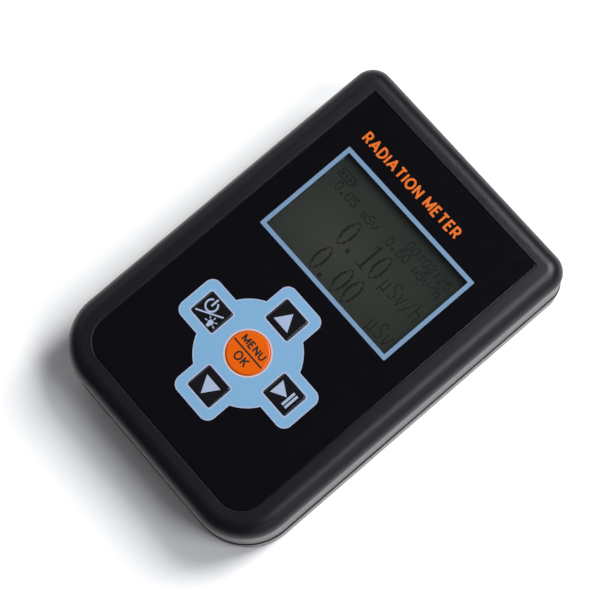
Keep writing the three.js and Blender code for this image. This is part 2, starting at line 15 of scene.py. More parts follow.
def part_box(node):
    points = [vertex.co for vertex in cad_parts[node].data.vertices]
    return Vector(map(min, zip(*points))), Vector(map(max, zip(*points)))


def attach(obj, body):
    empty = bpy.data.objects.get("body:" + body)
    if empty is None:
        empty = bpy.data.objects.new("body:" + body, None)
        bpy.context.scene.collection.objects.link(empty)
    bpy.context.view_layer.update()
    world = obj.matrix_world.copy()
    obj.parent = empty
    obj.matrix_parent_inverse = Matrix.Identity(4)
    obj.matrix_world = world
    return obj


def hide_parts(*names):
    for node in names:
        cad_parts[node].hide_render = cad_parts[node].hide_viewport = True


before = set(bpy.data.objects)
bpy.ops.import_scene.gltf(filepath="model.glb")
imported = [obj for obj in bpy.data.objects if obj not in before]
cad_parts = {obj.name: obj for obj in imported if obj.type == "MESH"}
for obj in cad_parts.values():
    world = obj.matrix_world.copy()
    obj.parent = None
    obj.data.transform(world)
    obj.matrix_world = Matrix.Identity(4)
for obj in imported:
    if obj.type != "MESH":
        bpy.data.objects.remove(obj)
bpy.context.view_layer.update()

# %% [markdown]
# ## Measures taken from the frame
# Every size that the frame knows is read from its boxes. Only radii and thin printed layers are given.

# %% Sizes read from the frame
MM = 0.001
case_low, case_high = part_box("front_shell")
LIP_TOP_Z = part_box("rear_shell")[1].z
label_low, label_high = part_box("face_label")
window_low, window_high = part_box("display_window")
glass_top_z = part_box("lcd_glass")[1].z
door_low, door_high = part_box("battery_door")

FACE_Z = case_high.z
LABEL_Z = label_high.z
PARTING_Z = case_low.z
TOP_CORNER, BOTTOM_CORNER = 6.5 * MM, 16.5 * MM
FACE_EDGE, REAR_EDGE = 5 * MM, 2 * MM
RECESS_FIT = 0.25 * MM
LABEL_TOP_CORNER, LABEL_BOTTOM_CORNER = 0.6 * MM, 8.2 * MM
WINDOW_RIM, KEY_RIM = 1.4 * MM, 1 * MM

# %% [markdown]
# ## Outlines
# The case, the film, the window and the keys are rectangles with round corners. One function gives the
# points of such an outline, always as many, so that quads can join any two.

# %% Rounded outlines
ARC_STEPS = 14


def outline(left, right, bottom, top, top_radius, bottom_radius=None, steps=ARC_STEPS):
    """Counter-clockwise points of a rectangle with round corners, from its lower right corner."""
    bottom_radius = top_radius if bottom_radius is None else bottom_radius
    corners = [
        (right - bottom_radius, bottom + bottom_radius, bottom_radius, -90),
        (right - top_radius, top - top_radius, top_radius, 0),
        (left + top_radius, top - top_radius, top_radius, 90),
        (left + bottom_radius, bottom + bottom_radius, bottom_radius, 180),
    ]
    points = []
    for cx, cy, radius, start in corners:
        angles = [math.radians(start + 90 * n / steps) for n in range(steps + 1)]
        points += [(cx + radius * math.cos(a), cy + radius * math.sin(a)) for a in angles]
    return points


def grown(low, high, margin, *radii, **steps):
    sides = low.x - margin, high.x + margin, low.y - margin, high.y + margin
    return outline(*sides, *radii, **steps)


def case_outline(inset):
    return grown(case_low, case_high, -inset, TOP_CORNER - inset, BOTTOM_CORNER - inset)


def label_outline(outset):
    radii = LABEL_TOP_CORNER + outset, LABEL_BOTTOM_CORNER + outset
    return grown(label_low, label_high, outset, *radii)


def circle(cx, cy, radius, steps=96):
    turns = (2 * math.pi * n / steps for n in range(steps))
    return [(cx + radius * math.cos(a), cy + radius * math.sin(a)) for a in turns]


print("points in one outline:", len(case_outline(0)))

# %% [markdown]
# ## Making meshes
# A *loft* joins a stack of outlines, which suits moulded parts. A *flat plate* is a filled 2D curve with a
# thickness, which suits printed parts with holes. A *boolean* cuts or joins closed meshes.

# %% Mesh helpers
scene = bpy.context.scene
SAME_POINT = 1e-7
SHARP_DEGREES = 32


def add_object(name, mesh):
    piece = bpy.data.objects.new(name, mesh)
    scene.collection.objects.link(piece)
    return piece


def ring_at(points, z):
    return [(x, y, z) for x, y in points]


def from_bmesh(name, work):
    mesh = bpy.data.meshes.new(name)
    work.to_mesh(mesh)
    work.free()
    return add_object(name, mesh)


def loft(name, rings):
    """A closed mesh through rings of equal length, capped at both ends."""
    work = bmesh.new()
    rows = [[work.verts.new(point) for point in ring] for ring in rings]
    for lower, upper in zip(rows, rows[1:]):
        for n in range(len(lower)):
            m = (n + 1) % len(lower)
            work.faces.new((lower[n], lower[m], upper[m], upper[n]))
    work.faces.new(rows[0][::-1])
    work.faces.new(rows[-1])
    bmesh.ops.recalc_face_normals(work, faces=work.faces)
    return from_bmesh(name, work)


def bake(piece):
    """An object with modifiers, or a curve, as a plain mesh of the same name."""
    bpy.context.view_layer.update()
    evaluated = piece.evaluated_get(bpy.context.evaluated_depsgraph_get())
    mesh = bpy.data.meshes.new_from_object(evaluated)
    name = piece.name
    bpy.data.objects.remove(piece)
    mesh.name = name
    return add_object(name, mesh)


def together(pieces, name, weld=False):
    """Several meshes as one object; a weld joins the points that lie on one another."""
    work = bmesh.new()
    for piece in pieces:
        work.from_mesh(piece.data)
        bpy.data.objects.remove(piece)
    if weld:
        bmesh.ops.remove_doubles(work, verts=work.verts, dist=SAME_POINT)
        bmesh.ops.recalc_face_normals(work, faces=work.faces)
    return from_bmesh(name, work)


def flat_plate(name, loops, z0, z1):
    """A plate between two heights; the first loop is its outline and the others are holes."""
    curve = bpy.data.curves.new(name, "CURVE")
    curve.dimensions = "2D"
    curve.fill_mode = "BOTH"
    for loop in loops:
        spline = curve.splines.new("POLY")
        spline.points.add(len(loop) - 1)
        for point, (x, y) in zip(spline.points, loop):
            point.co = (x, y, 0, 1)
        spline.use_cyclic_u = True
    curve.extrude = (z1 - z0) / 2
    piece = bake(add_object(name, curve))
    piece.data.transform(Matrix.Translation((0, 0, (z0 + z1) / 2)))
    return together([piece], name, weld=True)


def combine(piece, tools, operation, use_self=False):
    """Cuts closed tools out of a closed piece, or joins them to it, and removes them."""
    for tool in tools:
        modifier = piece.modifiers.new("combine", "BOOLEAN")
        modifier.operation, modifier.solver = operation, "EXACT"
        modifier.object, modifier.use_self = tool, use_self
        piece = bake(piece)
        bpy.data.objects.remove(tool)
    return piece


def fuse(pieces, name):
    """Overlapping closed meshes as one skin."""
    fused = combine(pieces[0], [together(pieces[1:], "rest")], "UNION", use_self=True)
    fused.name = name
    return fused


def shade(piece, angle=SHARP_DEGREES):
    """Smooth shading that stops at sharp edges and leaves large flats flat."""
    piece.data.shade_smooth()
    piece.data.set_sharp_from_angle(angle=math.radians(angle))
    modifier = piece.modifiers.new("flats", "WEIGHTED_NORMAL")
    modifier.keep_sharp = True
    return bake(piece)


def slab(name, plan, z0, z1):
    return loft(name, [ring_at(plan, z0), ring_at(plan, z1)])


def block(name, low, high):
    (x0, y0, z0), (x1, y1, z1) = low, high
    return slab(name, [(x0, y0), (x1, y0), (x1, y1), (x0, y1)], z0, z1)


def rod(name, x, y, radius, z0, z1, steps=32):
    return slab(name, circle(x, y, radius, steps), z0, z1)


def rods(name, centres, radius, z0, z1, steps=32):
    return [rod(name, c.x, c.y, radius, z0, z1, steps) for c in centres]


def turned(name, profile, steps=48):
    """An upright solid of revolution; the profile holds (radius, z) from one end to the other."""
    return loft(name, [ring_at(circle(0, 0, radius, steps), z) for radius, z in profile])


def place(piece, body, slot, material, *nodes):
    """Gives a piece its material and its body, and hides the frame nodes it stands for; the slot is not used.
    """
    piece.data.materials.clear()
    piece.data.materials.append(material)
    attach(piece, body)
    if nodes:
        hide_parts(*nodes)
    print(f"{piece.name}: {len(piece.data.polygons)} faces")
    return piece


# %% [markdown]
# ## Finishes
# Each finish is one Principled shader whose colour, gloss and relief drift with noise in Object
# coordinates, because no moulded or printed surface is perfectly even. Noise scales are per metre: 3000
# gives a grain of about a third of a millimetre.

# %% Finish helpers
COLOR_A, COLOR_B, COLOR_OUT = 6, 7, 2


def set_inputs(node, **inputs):
    """Sets a node's inputs to values, or links them to the sockets given."""
    for label, value in inputs.items():
        socket = node.inputs[label.replace("_", " ")]
        if isinstance(value, bpy.types.NodeSocket):
            node.id_data.links.new(value, socket)
        else:
            socket.default_value = value


def add_node(tree, kind, output=0, **inputs):
    """One output of a new node; the type of the tree completes the kind of the node."""
    node = tree.nodes.new(tree.bl_idname.removesuffix("Tree") + kind)
    set_inputs(node, **inputs)
    return node.outputs[output]


def new_finish(name, **sockets):
    material = bpy.data.materials.new(name)
    material.use_nodes = True
    set_inputs(material.node_tree.nodes["Principled BSDF"], **sockets)
    return material


def noise(material, scale, detail, stretch=(1, 1, 1)):
    """The factor of a noise texture on Object coordinates."""
    tree = material.node_tree
    spot = add_node(tree, "Mapping", Vector=add_node(tree, "TexCoord", "Object"), Scale=stretch)
    return add_node(tree, "TexNoise", Vector=spot, Scale=scale, Detail=detail)


def remap(source, low, high, start=0.3, end=0.7):
    ends = {"From Min": start, "From Max": end, "To Min": low, "To Max": high}
    return add_node(source.id_data, "MapRange", Value=source, **ends)


def blend_colors(factor, first, second):
    """A mix of two colours, or colour sockets, by a factor."""
    node = factor.id_data.nodes.new("ShaderNodeMix")
    node.data_type = "RGBA"
    set_inputs(node, Factor=factor)
    for value, socket in ((first, node.inputs[COLOR_A]), (second, node.inputs[COLOR_B])):
        if isinstance(value, tuple):
            socket.default_value = (*value, 1)
        else:
            node.id_data.links.new(value, socket)
    return node.outputs[COLOR_OUT]


def coat(material, tone, gloss, *relief, stretch=(1, 1, 1)):
    """Gives a finish its colour socket, gloss and relief.

    The gloss is (scale, detail, lowest, highest). A layer of relief is (height, depth, strength), and its
    height is a socket or the (scale, detail) of a noise.
    """
    scale, detail, lowest, highest = gloss
    rough = remap(noise(material, scale, detail, stretch), lowest, highest)
    below = {}
    for height, depth, strength in relief:
        if isinstance(height, tuple):
            height = noise(material, *height, stretch)
        bump = {"Height": height, "Distance": depth, "Strength": strength}
        below = {"Normal": add_node(material.node_tree, "Bump", **bump, **below)}
    set_inputs(material.node_tree.nodes["Principled BSDF"], Base_Color=tone, Roughness=rough, **below)
    return material


def drifting(name, tones, gloss, *relief, stretch=(1, 1, 1), **sockets):
    """A finish that drifts between two tones, given as (scale, detail, first, second)."""
    material = new_finish(name, **sockets)
    scale, detail, first, second = tones
    tone = blend_colors(noise(material, scale, detail), first, second)
    return coat(material, tone, gloss, *relief, stretch=stretch)


def even_finish(name, first, second, scale, gloss, grain, depth, **sockets):
    """A finish that drifts a little over a fine grain."""
    tones, sheen = (scale, 3, first, second), (2.7 * scale, 5, *gloss)
    return drifting(name, tones, sheen, ((grain, 2), depth, 0.5), **sockets)


# %% [markdown]
# ### The case's plastic
# A spark-eroded tool leaves a fine pebble on black ABS: a grain of a quarter of a millimetre and a finer
# one, under a gloss that drifts over centimetres.

# %% Case plastic
CASE = drifting(
    "satin_black_abs",
    (90, 4, (0.0046, 0.0046, 0.0066), (0.0062, 0.0061, 0.0086)),
    (160, 6, 0.29, 0.32),
    ((4200, 2), 0.055 * MM, 0.6),
    ((12000, 1), 0.03 * MM, 0.6),
    IOR=1.5,
    Specular_IOR_Level=0.25,
)

# %% [markdown]
# ### Printed film and inks
# The face film is polycarbonate printed on its back, so it is smoother and deeper black than the case, with
# the faint waviness of a glued sheet. The inks share one recipe.

# %% Film and inks
FILM = drifting(
    "face_film_black",
    (60, 3, (0.0022, 0.0022, 0.0034), (0.0030, 0.0030, 0.0044)),
    (220, 6, 0.10, 0.15),
    ((70, 1), 0.02 * MM, 0.1),
    ((5200, 2), 0.003 * MM, 0.4),
    IOR=1.45,
    Specular_IOR_Level=0.4,
)


def ink(name, first, second, gloss=(0.32, 0.42)):
    printed = {"IOR": 1.45, "Specular_IOR_Level": 0.3}
    return even_finish(name, first, second, 900, gloss, 6000, 0.004 * MM, **printed)


INK_BLUE = ink("ink_pad_blue", (0.150, 0.300, 0.465), (0.160, 0.316, 0.485))
INK_FRAME = ink("ink_frame_blue", (0.128, 0.212, 0.325), (0.142, 0.230, 0.348))
INK_PALE = ink("ink_pale_lilac", (0.270, 0.330, 0.460), (0.300, 0.360, 0.490))
INK_ORANGE = ink("ink_legend_orange", (0.540, 0.104, 0.006), (0.590, 0.122, 0.010))
INK_BLACK = ink("ink_letter_black", (0.006, 0.004, 0.004), (0.009, 0.006, 0.005), (0.45, 0.55))
KEY_BLACK = even_finish(
    "key_black", (0.0050, 0.0050, 0.0064), (0.0070, 0.0070, 0.0086), 900, (0.07, 0.12), 6000, 0.003 * MM
)
KEY_ORANGE = ink("key_orange", (0.560, 0.082, 0.001), (0.620, 0.096, 0.002), (0.20, 0.28))
KEY_ROSE = ink("key_rose_rim", (0.500, 0.365, 0.355), (0.540, 0.400, 0.390))

# %% [markdown]
# ## The front shell
# The front shell is a loft of outlines that starts on the inside ceiling, runs down the inner wall, round
# the rim, up the outside, over the bullnose and down into the film's recess, whose corner radii are its
# own. Two extra rings beside each flat keep its shading clean.

# %% Front shell: the moulding
FRONT_WALL = 2.2 * MM
CHAMFER = 0.6 * MM
RIM_SOFT = 0.15 * MM
CEILING_Z = FACE_Z - 2.6 * MM
RECESS_Z = label_low.z - 0.05 * MM
LIP_INSET = 1.4 * MM
RECESS_SOFT = 0.18 * MM


def arc(centre_inset, centre_z, radius, start, end, steps):
    """(inset, z) pairs along an arc; 0 degrees points out of the case and 90 upwards."""
    angles = (math.radians(start + (end - start) * n / steps) for n in range(steps + 1))
    return [(centre_inset - radius * math.cos(a), centre_z + radius * math.sin(a)) for a in angles]


def front_shell():
    rabbet = LIP_INSET - RECESS_FIT
    lip_room = LIP_TOP_Z + RECESS_FIT
    inside = [(FRONT_WALL + CHAMFER, CEILING_Z), (FRONT_WALL, CEILING_Z - CHAMFER), (FRONT_WALL, lip_room)]
    inside += [(rabbet, lip_room), (rabbet, PARTING_Z)]
    rim = arc(RIM_SOFT, PARTING_Z + RIM_SOFT, RIM_SOFT, -90, 0, 5)
    nose = arc(FACE_EDGE, FACE_Z - FACE_EDGE, FACE_EDGE, 0, 90, 24)
    wall = [(0, PARTING_Z + 3 * RIM_SOFT), (0, FACE_Z - FACE_EDGE - 0.3 * MM)]
    bezel = [(FACE_EDGE + 0.25 * MM, FACE_Z)]
    rings = [ring_at(case_outline(d), z) for d, z in inside + rim + wall + nose + bezel]
    outset = RECESS_FIT + RECESS_SOFT
    rings.append(ring_at(label_outline(outset + 0.15 * MM), FACE_Z))
    for n in range(5):
        angle = math.radians(90 * n / 4)
        drop = RECESS_SOFT * (1 - math.cos(angle))
        rings.append(ring_at(label_outline(outset - RECESS_SOFT * math.sin(angle)), FACE_Z - drop))
    rings.append(ring_at(label_outline(RECESS_FIT), RECESS_Z))
    return loft("front_shell_moulding", rings)


front = front_shell()
print("front shell skin:", len(front.data.polygons), "faces")

# %% [markdown]
# ### Openings, bosses and stand-offs
# The window's seat and opening and the key holes go through the recess floor. Behind it stand bosses for
# the case screws and stand-offs for the board. Booleans join or cut simple closed solids.

# %% Front shell: openings and bosses
KEY_NAMES = ["up", "down", "power", "play", "menu"]
key_boxes = {name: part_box("key_" + name) for name in KEY_NAMES}
SCREWS = range(1, 5)
screw_centres = [sum(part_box(f"case_screw_{n}"), Vector()) / 2 for n in SCREWS]
board_centres = [sum(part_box(f"board_screw_{n}"), Vector()) / 2 for n in SCREWS]
KEY_CORNER = 0.6 * MM
BOSS_RADIUS, STANDOFF_RADIUS, BORE_RADIUS, PILOT_RADIUS = 3.5 * MM, 2.6 * MM, 1.55 * MM, 1.1 * MM


def key_centre(name):
    low, high = key_boxes[name]
    return (low + high) / 2


def key_outline(name, grow):
    """A key's plan, grown by a margin; the frame's boxes include the hidden rim."""
    low, high = key_boxes[name]
    margin = grow - KEY_RIM
    if name == "menu":
        return circle(*key_centre(name).xy, (high.x - low.x) / 2 + margin)
    return grown(low, high, margin, max(KEY_CORNER + grow, 0.1 * MM), steps=8)


def window_outline(grow, radius=0.3 * MM):
    """The visible window's plan, grown by a margin."""
    return grown(window_low, window_high, grow - WINDOW_RIM, radius, steps=6)


ABOVE = FACE_Z + 2 * MM
seat_outline = window_outline(WINDOW_RIM + RECESS_FIT, 0.8 * MM)
cuts = [slab("seat", seat_outline, window_low.z - 0.05 * MM, ABOVE)]
cuts.append(slab("opening", window_outline(0.3 * MM, 0.5 * MM), CEILING_Z - MM, ABOVE))
cuts += [slab("key_hole", key_outline(name, RECESS_FIT), CEILING_Z - MM, ABOVE) for name in KEY_NAMES]
boss_low, standoff_low = LIP_TOP_Z + 0.3 * MM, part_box("main_board")[1].z + 0.05 * MM
bosses = rods("boss", screw_centres, BOSS_RADIUS, boss_low, CEILING_Z + MM)
bosses += rods("standoff", board_centres, STANDOFF_RADIUS, standoff_low, CEILING_Z + MM)
bores = rods("bore", screw_centres, BORE_RADIUS, 0, 22 * MM, 24)
bores += rods("pilot", board_centres, PILOT_RADIUS, 0, 24 * MM, 24)

front = combine(front, [together(cuts, "cuts")], "DIFFERENCE")
front = combine(front, [together(bosses, "bosses")], "UNION")
front = combine(front, [together(bores, "bores")], "DIFFERENCE")
place(shade(front), "case", "case_plastic", CASE, "front_shell")

# %% [markdown]
# ## Repeats and paths by Geometry Nodes
# Node trees make what repeats or follows a path. Every tree ends in Realize Instances and Set Material,
# because an exported model keeps no instances. The result is baked, and no modifier is left on the piece.

# %% Node tree helpers
def new_tree(name, **inputs):
    """A tree with a mesh going in and coming out, and one more input for each keyword."""
    tree = bpy.data.node_groups.new(name, "GeometryNodeTree")
    tree.interface.new_socket("Mesh", in_out="OUTPUT", socket_type="NodeSocketGeometry")
    for label, kind in {"Mesh": "Geometry", **inputs, "Finish": "Material"}.items():
        tree.interface.new_socket(label, in_out="INPUT", socket_type="NodeSocket" + kind)
    tree.nodes.new("NodeGroupOutput")
    return tree, tree.nodes.new("NodeGroupInput").outputs


def end_tree(tree, geometry, finish):
    real = add_node(tree, "RealizeInstances", Geometry=geometry)
    painted = add_node(tree, "SetMaterial", Geometry=real, Material=finish)
    set_inputs(tree.nodes["Group Output"], Mesh=painted)
    return tree


def copies_on_points():
    tree, given = new_tree("copies_on_points", Shape="Object")
    shape = add_node(tree, "ObjectInfo", "Geometry", Object=given["Shape"])
    copies = add_node(tree, "InstanceOnPoints", Points=given["Mesh"], Instance=shape)
    return end_tree(tree, copies, given["Finish"])


def grow(name, tree, points=(), **values):
    """Runs a tree on a set of points and keeps the result as a plain mesh."""
    mesh = bpy.data.meshes.new(name)
    mesh.from_pydata([tuple(point) for point in points], [], [])
    piece = add_object(name, mesh)
    modifier = piece.modifiers.new("nodes", "NODES")
    modifier.node_group = tree
    for item in tree.interface.items_tree:
        if item.in_out == "INPUT" and item.name in values:
            modifier[item.identifier] = values[item.name]
    return bake(piece)


# %% [markdown]
# ## The rear shell
# The rear shell is a second loft, from the rounded rear edge up to the parting line, where it stands out as
# a fine step, and over the locating lip inside the front shell. Then come the screw posts, the ribs of the
# battery bay, the doorway with a groove for the door's tongues, and seven sound holes over the sounder.

# %% Rear shell: the tray
REAR_WALL = 2.4 * MM
FLOOR_Z = 2.2 * MM
REAR_RIM_Z = PARTING_Z - 0.4 * MM
LIP_SOFT = 0.2 * MM
REAR_RIM_SOFT = 0.4 * MM
STEP = 0.32 * MM


def rear_shell():
    foot = [(REAR_EDGE + 0.3 * MM, 0)] + arc(REAR_EDGE, REAR_EDGE, REAR_EDGE, -90, 0, 12)
    wall = [(0, REAR_EDGE + 0.3 * MM), (-STEP, REAR_RIM_Z - 2 * REAR_RIM_SOFT)]
    rim = arc(REAR_RIM_SOFT - STEP, REAR_RIM_Z - REAR_RIM_SOFT, REAR_RIM_SOFT, 0, 90, 8)
    lip_edge = LIP_TOP_Z - LIP_SOFT
    lip = [(LIP_INSET, REAR_RIM_Z), (LIP_INSET, lip_edge), (LIP_INSET + LIP_SOFT, LIP_TOP_Z)]
    lip += [(REAR_WALL - LIP_SOFT, LIP_TOP_Z), (REAR_WALL, lip_edge)]
    inside = [(REAR_WALL, FLOOR_Z + CHAMFER), (REAR_WALL + CHAMFER, FLOOR_Z)]
    profile = foot + wall + rim + lip + inside
    return loft("rear_shell_moulding", [ring_at(case_outline(d), z) for d, z in profile])


rear = rear_shell()
print("rear shell skin:", len(rear.data.polygons), "faces")

# %% Rear shell: posts, battery bay and doorway
BAY_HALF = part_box("cell_2")[1].x + 1.25 * MM
BAY_LOW_Y = door_low.y + 4.3 * MM
BAY_HIGH_Y = door_high.y - 2 * MM
BAY_RIB = 1.5 * MM
LEDGE_HALF = 20.5 * MM
LEDGE_Z = 3.6 * MM
RIB_FOOT_Z = 2.05 * MM
LEDGE_END = 3 * MM
DOOR_HALF = 18 * MM
DOOR_FIT = 0.25 * MM
GROOVE = 1.2 * MM
POST_FOOT_Z = FLOOR_Z - 0.5 * MM
POST_RADIUS, FOOT_RADIUS, POST_BORE, HEAD_BORE = 3.6 * MM, 4.3 * MM, 1.6 * MM, 3.1 * MM


def bay_ribs():
    half, low, high = BAY_HALF + BAY_RIB, BAY_LOW_Y, BAY_HIGH_Y
    ribs = [
        block("rib", (-half, high, RIB_FOOT_Z), (half, high + BAY_RIB, LIP_TOP_Z)),
        block("rib", (-half, low - BAY_RIB, RIB_FOOT_Z), (half, low, LIP_TOP_Z)),
        block("ledge", (-LEDGE_HALF, high, RIB_FOOT_Z), (LEDGE_HALF, high + LEDGE_END, LEDGE_Z)),
    ]
    for side in (-1, 1):
        near, far = sorted((side * BAY_HALF, side * half))
        ribs.append(block("rib", (near, low, RIB_FOOT_Z), (far, high, LIP_TOP_Z)))
        near, far = sorted((side * BAY_HALF, side * LEDGE_HALF))
        ribs.append(block("ledge", (near, low - LEDGE_END, RIB_FOOT_Z), (far, high + LEDGE_END, LEDGE_Z)))
    return ribs


def doorway():
    half, groove = DOOR_HALF + DOOR_FIT, DOOR_HALF + DOOR_FIT + GROOVE
    far, top = 2 * case_low.y, door_high.y + DOOR_FIT
    return [
        block("doorway", (-half, far, -MM), (half, top, door_high.z + DOOR_FIT)),
        block("groove", (-groove, far, 0.65 * MM), (groove, top, 1.65 * MM)),
        block("opening", (-BAY_HALF, BAY_LOW_Y, -MM), (BAY_HALF, BAY_HIGH_Y, LEDGE_Z)),
    ]


added, removed = bay_ribs(), doorway()
for c in screw_centres:
    added.append(rod("post", c.x, c.y, POST_RADIUS, POST_FOOT_Z, LIP_TOP_Z))
    added.append(rod("foot", c.x, c.y, FOOT_RADIUS, POST_FOOT_Z, 4 * MM))
    removed.append(rod("bore", c.x, c.y, POST_BORE, -MM, LIP_TOP_Z + MM, 24))
    removed.append(rod("counterbore", c.x, c.y, HEAD_BORE, -MM, 2.6 * MM, 48))
rear = combine(combine(rear, added, "UNION"), removed, "DIFFERENCE")
print("with its bay and doorway:", len(rear.data.polygons), "faces")

# %% Rear shell: sound holes
sounder_centre = sum(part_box("sounder"), Vector()) / 2


def ring_of_pins():
    """Pins on a ring and one in its middle, each standing on the ground plane."""
    sizes = {"Count": "Int", "Ring": "Float", "Radius": "Float", "Length": "Float"}
    tree, given = new_tree("ring_of_pins", **sizes)
    ring = add_node(tree, "MeshCircle", Vertices=given["Count"], Radius=given["Ring"])
    spots = add_node(tree, "JoinGeometry", Geometry=ring)
    tree.links.new(given["Mesh"], spots.node.inputs[0])
    pin = add_node(tree, "MeshCylinder", Vertices=24, Radius=given["Radius"], Depth=given["Length"])
    pins = add_node(tree, "InstanceOnPoints", Points=spots, Instance=pin)
    return end_tree(tree, pins, given["Finish"])


hole_sizes = {"Count": 6, "Ring": 3.2 * MM, "Radius": 0.8 * MM, "Length": 8 * MM}
pins = grow("sound_pins", ring_of_pins(), [(0, 0, 0)], Finish=CASE, **hole_sizes)
pins.data.transform(Matrix.Translation((sounder_centre.x, sounder_centre.y, 0)))
rear = combine(rear, [pins], "DIFFERENCE")
place(shade(rear), "case", "case_plastic", CASE, "rear_shell")

# %% [markdown]
# ## The battery door
# A thin panel in the rear face slides out past the bottom end. Its outer edges are eased, its lower end
# follows the case's rounded edge, and two tongues run in the shell's grooves. An arrow shows which way it
# slides.

# %% Battery door
DOOR_EASE = 0.3 * MM
DOOR_ROWS = 12
DOOR_ARROW = [(-2.2 * MM, -38 * MM), (0, -41.2 * MM), (2.2 * MM, -38 * MM)]
GRIPS, GRIP_LOW_Y, GRIP_PITCH = 5, -51.55 * MM, 2 * MM


def door_panel():
    rings = []
    for n in range(DOOR_ROWS + 1):
        z = door_low.z + (door_high.z - door_low.z) * n / DOOR_ROWS
        ease = DOOR_EASE - math.sqrt(max(DOOR_EASE**2 - max(DOOR_EASE - (z - door_low.z), 0) ** 2, 0))
        bow = REAR_EDGE - math.sqrt(REAR_EDGE**2 - (REAR_EDGE - z) ** 2)
        sides = -DOOR_HALF + ease, DOOR_HALF - ease, case_low.y + bow, door_high.y - ease
        rings.append(ring_at(outline(*sides, 0.6 * MM, 0.3 * MM, steps=4), z))
    return loft("battery_door_panel", rings)


def groove_tool():
    """A long pill lying in the ground plane, rounded underneath."""
    half, width = 8 * MM, 0.45 * MM
    profile = [(0, -MM)]
    for n in range(6):
        angle = math.radians(90 * n / 6)
        profile.append((width * (1 - math.cos(angle)), 0.5 * MM * math.sin(angle)))
    rings = []
    for inset, z in profile:
        sides = -half + inset, half - inset, -width + inset, width - inset
        rings.append(ring_at(outline(*sides, 0.98 * (width - inset), steps=6), z))
    return loft("groove_tool", rings)


tongue_low = door_low.x, BAY_LOW_Y, 0.85 * MM
tongues = block("tongues", tongue_low, (door_high.x, door_high.y - 3 * MM, 1.45 * MM))
door = combine(door_panel(), [tongues], "UNION")
tool = groove_tool()
grip_spots = [(0, GRIP_LOW_Y + n * GRIP_PITCH, door_low.z) for n in range(GRIPS)]
grips = grow("grips", copies_on_points(), grip_spots, Shape=tool, Finish=CASE)
bpy.data.objects.remove(tool)
arrow = slab("arrow", DOOR_ARROW, -MM, door_low.z + 0.4 * MM)
door = combine(door, [grips, arrow], "DIFFERENCE")
place(shade(door), "battery_door", "case_plastic", CASE, "battery_door")

# %% [markdown]
# ## The face film
# The sheet covers the recess and hides the window's rim and the edges of the keys. The fine round of its
# cut edge draws a line of light, so it is a short loft, and six plugs punch the holes out of it.

# %% Face film
PRINT_GAP = 0.05 * MM
FILM_EDGE = 0.2 * MM
FILM_OUTSET = 0.12 * MM
film_rings = [(0, label_low.z)] + arc(FILM_EDGE, LABEL_Z - FILM_EDGE, FILM_EDGE, 0, 90, 5)
film_rings.append((1.5 * FILM_EDGE, LABEL_Z))
film = loft("face_film", [ring_at(label_outline(FILM_OUTSET - inset), z) for inset, z in film_rings])
for hole in [window_outline(0, 0.2 * MM)] + [key_outline(name, PRINT_GAP) for name in KEY_NAMES]:
    film = combine(film, [slab("hole", hole, label_low.z - MM, ABOVE)], "DIFFERENCE")
place(shade(film, 50), "case", "label_film", FILM, "face_label")

# %% [markdown]
# ## The printed pad
# The blue pad is a disc with four round-cornered lobes. A ray from its centre leaves it only once, so its
# outline is found ray by ray, where the signed distance to the nearest shape becomes zero.

# %% Printed pad and key outlines
PAD_RADIUS = 15.69 * MM
PAD_RAYS = 1440
UPRIGHT_LOBE = Vector((7.85, 21.9)) * MM
LEVEL_LOBE = Vector((23.6, 7.3)) * MM
LOBE_CORNER = 2.9 * MM
PAD_LINE = 0.36 * MM
KEY_LINE = 0.5 * MM
INK_Z = LABEL_Z + 0.025 * MM
LINE_Z = LABEL_Z + 0.035 * MM
INK_FOOT_Z = LABEL_Z - 0.01 * MM
pad_centre = key_centre("menu")


def box_distance(x, y, half, corner):
    """Signed distance from a point to a round-cornered rectangle about the centre."""
    dx, dy = abs(x) - half.x + corner, abs(y) - half.y + corner
    return math.hypot(max(dx, 0), max(dy, 0)) + min(max(dx, dy), 0) - corner


def pad_outline(inset):
    points = []
    for n in range(PAD_RAYS):
        angle = 2 * math.pi * n / PAD_RAYS
        c, s = math.cos(angle), math.sin(angle)
        near, far = 0.5 * PAD_RADIUS, 2 * PAD_RADIUS
        while far - near > 0.001 * MM:
            r = (near + far) / 2
            lobes = (box_distance(r * c, r * s, half, LOBE_CORNER) for half in (UPRIGHT_LOBE, LEVEL_LOBE))
            inside = min(r - PAD_RADIUS, *lobes) < -inset
            near, far = (r, far) if inside else (near, r)
        points.append((pad_centre.x + near * c, pad_centre.y + near * s))
    return points


def print_layer(name, loops, top, finish):
    place(flat_plate(name, loops, INK_FOOT_Z, top), "case", "label_film", finish)


def key_line(name):
    return [key_outline(name, PRINT_GAP + KEY_LINE), key_outline(name, PRINT_GAP)]


key_gaps = [key_outline(name, 0.3 * MM) for name in KEY_NAMES]
print_layer("printed_pad", [pad_outline(0.5 * PAD_LINE)] + key_gaps, INK_Z, INK_BLUE)

outlines = [flat_plate("rim", [pad_outline(0), pad_outline(PAD_LINE)], INK_FOOT_Z, LINE_Z)]
outlines += [flat_plate("rim", key_line(name), INK_FOOT_Z, LINE_Z) for name in KEY_NAMES[:-1]]
place(together(outlines, "printed_outlines"), "case", "label_film", INK_PALE)
print_layer("menu_ring", key_line("menu"), LINE_Z, KEY_ROSE)

# %% [markdown]
# ## The display frame and the legend
# A blue line frames the window. Above it a plain legend says what the instrument is, in letters made of
# straight strokes and bends in a unit square. The same letters write the words on the round key.

# %% Display frame and legend
FRAME_LINE = 1.33 * MM
frame_loops = [window_outline(FRAME_LINE, 0.25 * MM), window_outline(0.01 * MM, 0.2 * MM)]
print_layer("printed_frame", frame_loops, INK_Z, INK_FRAME)


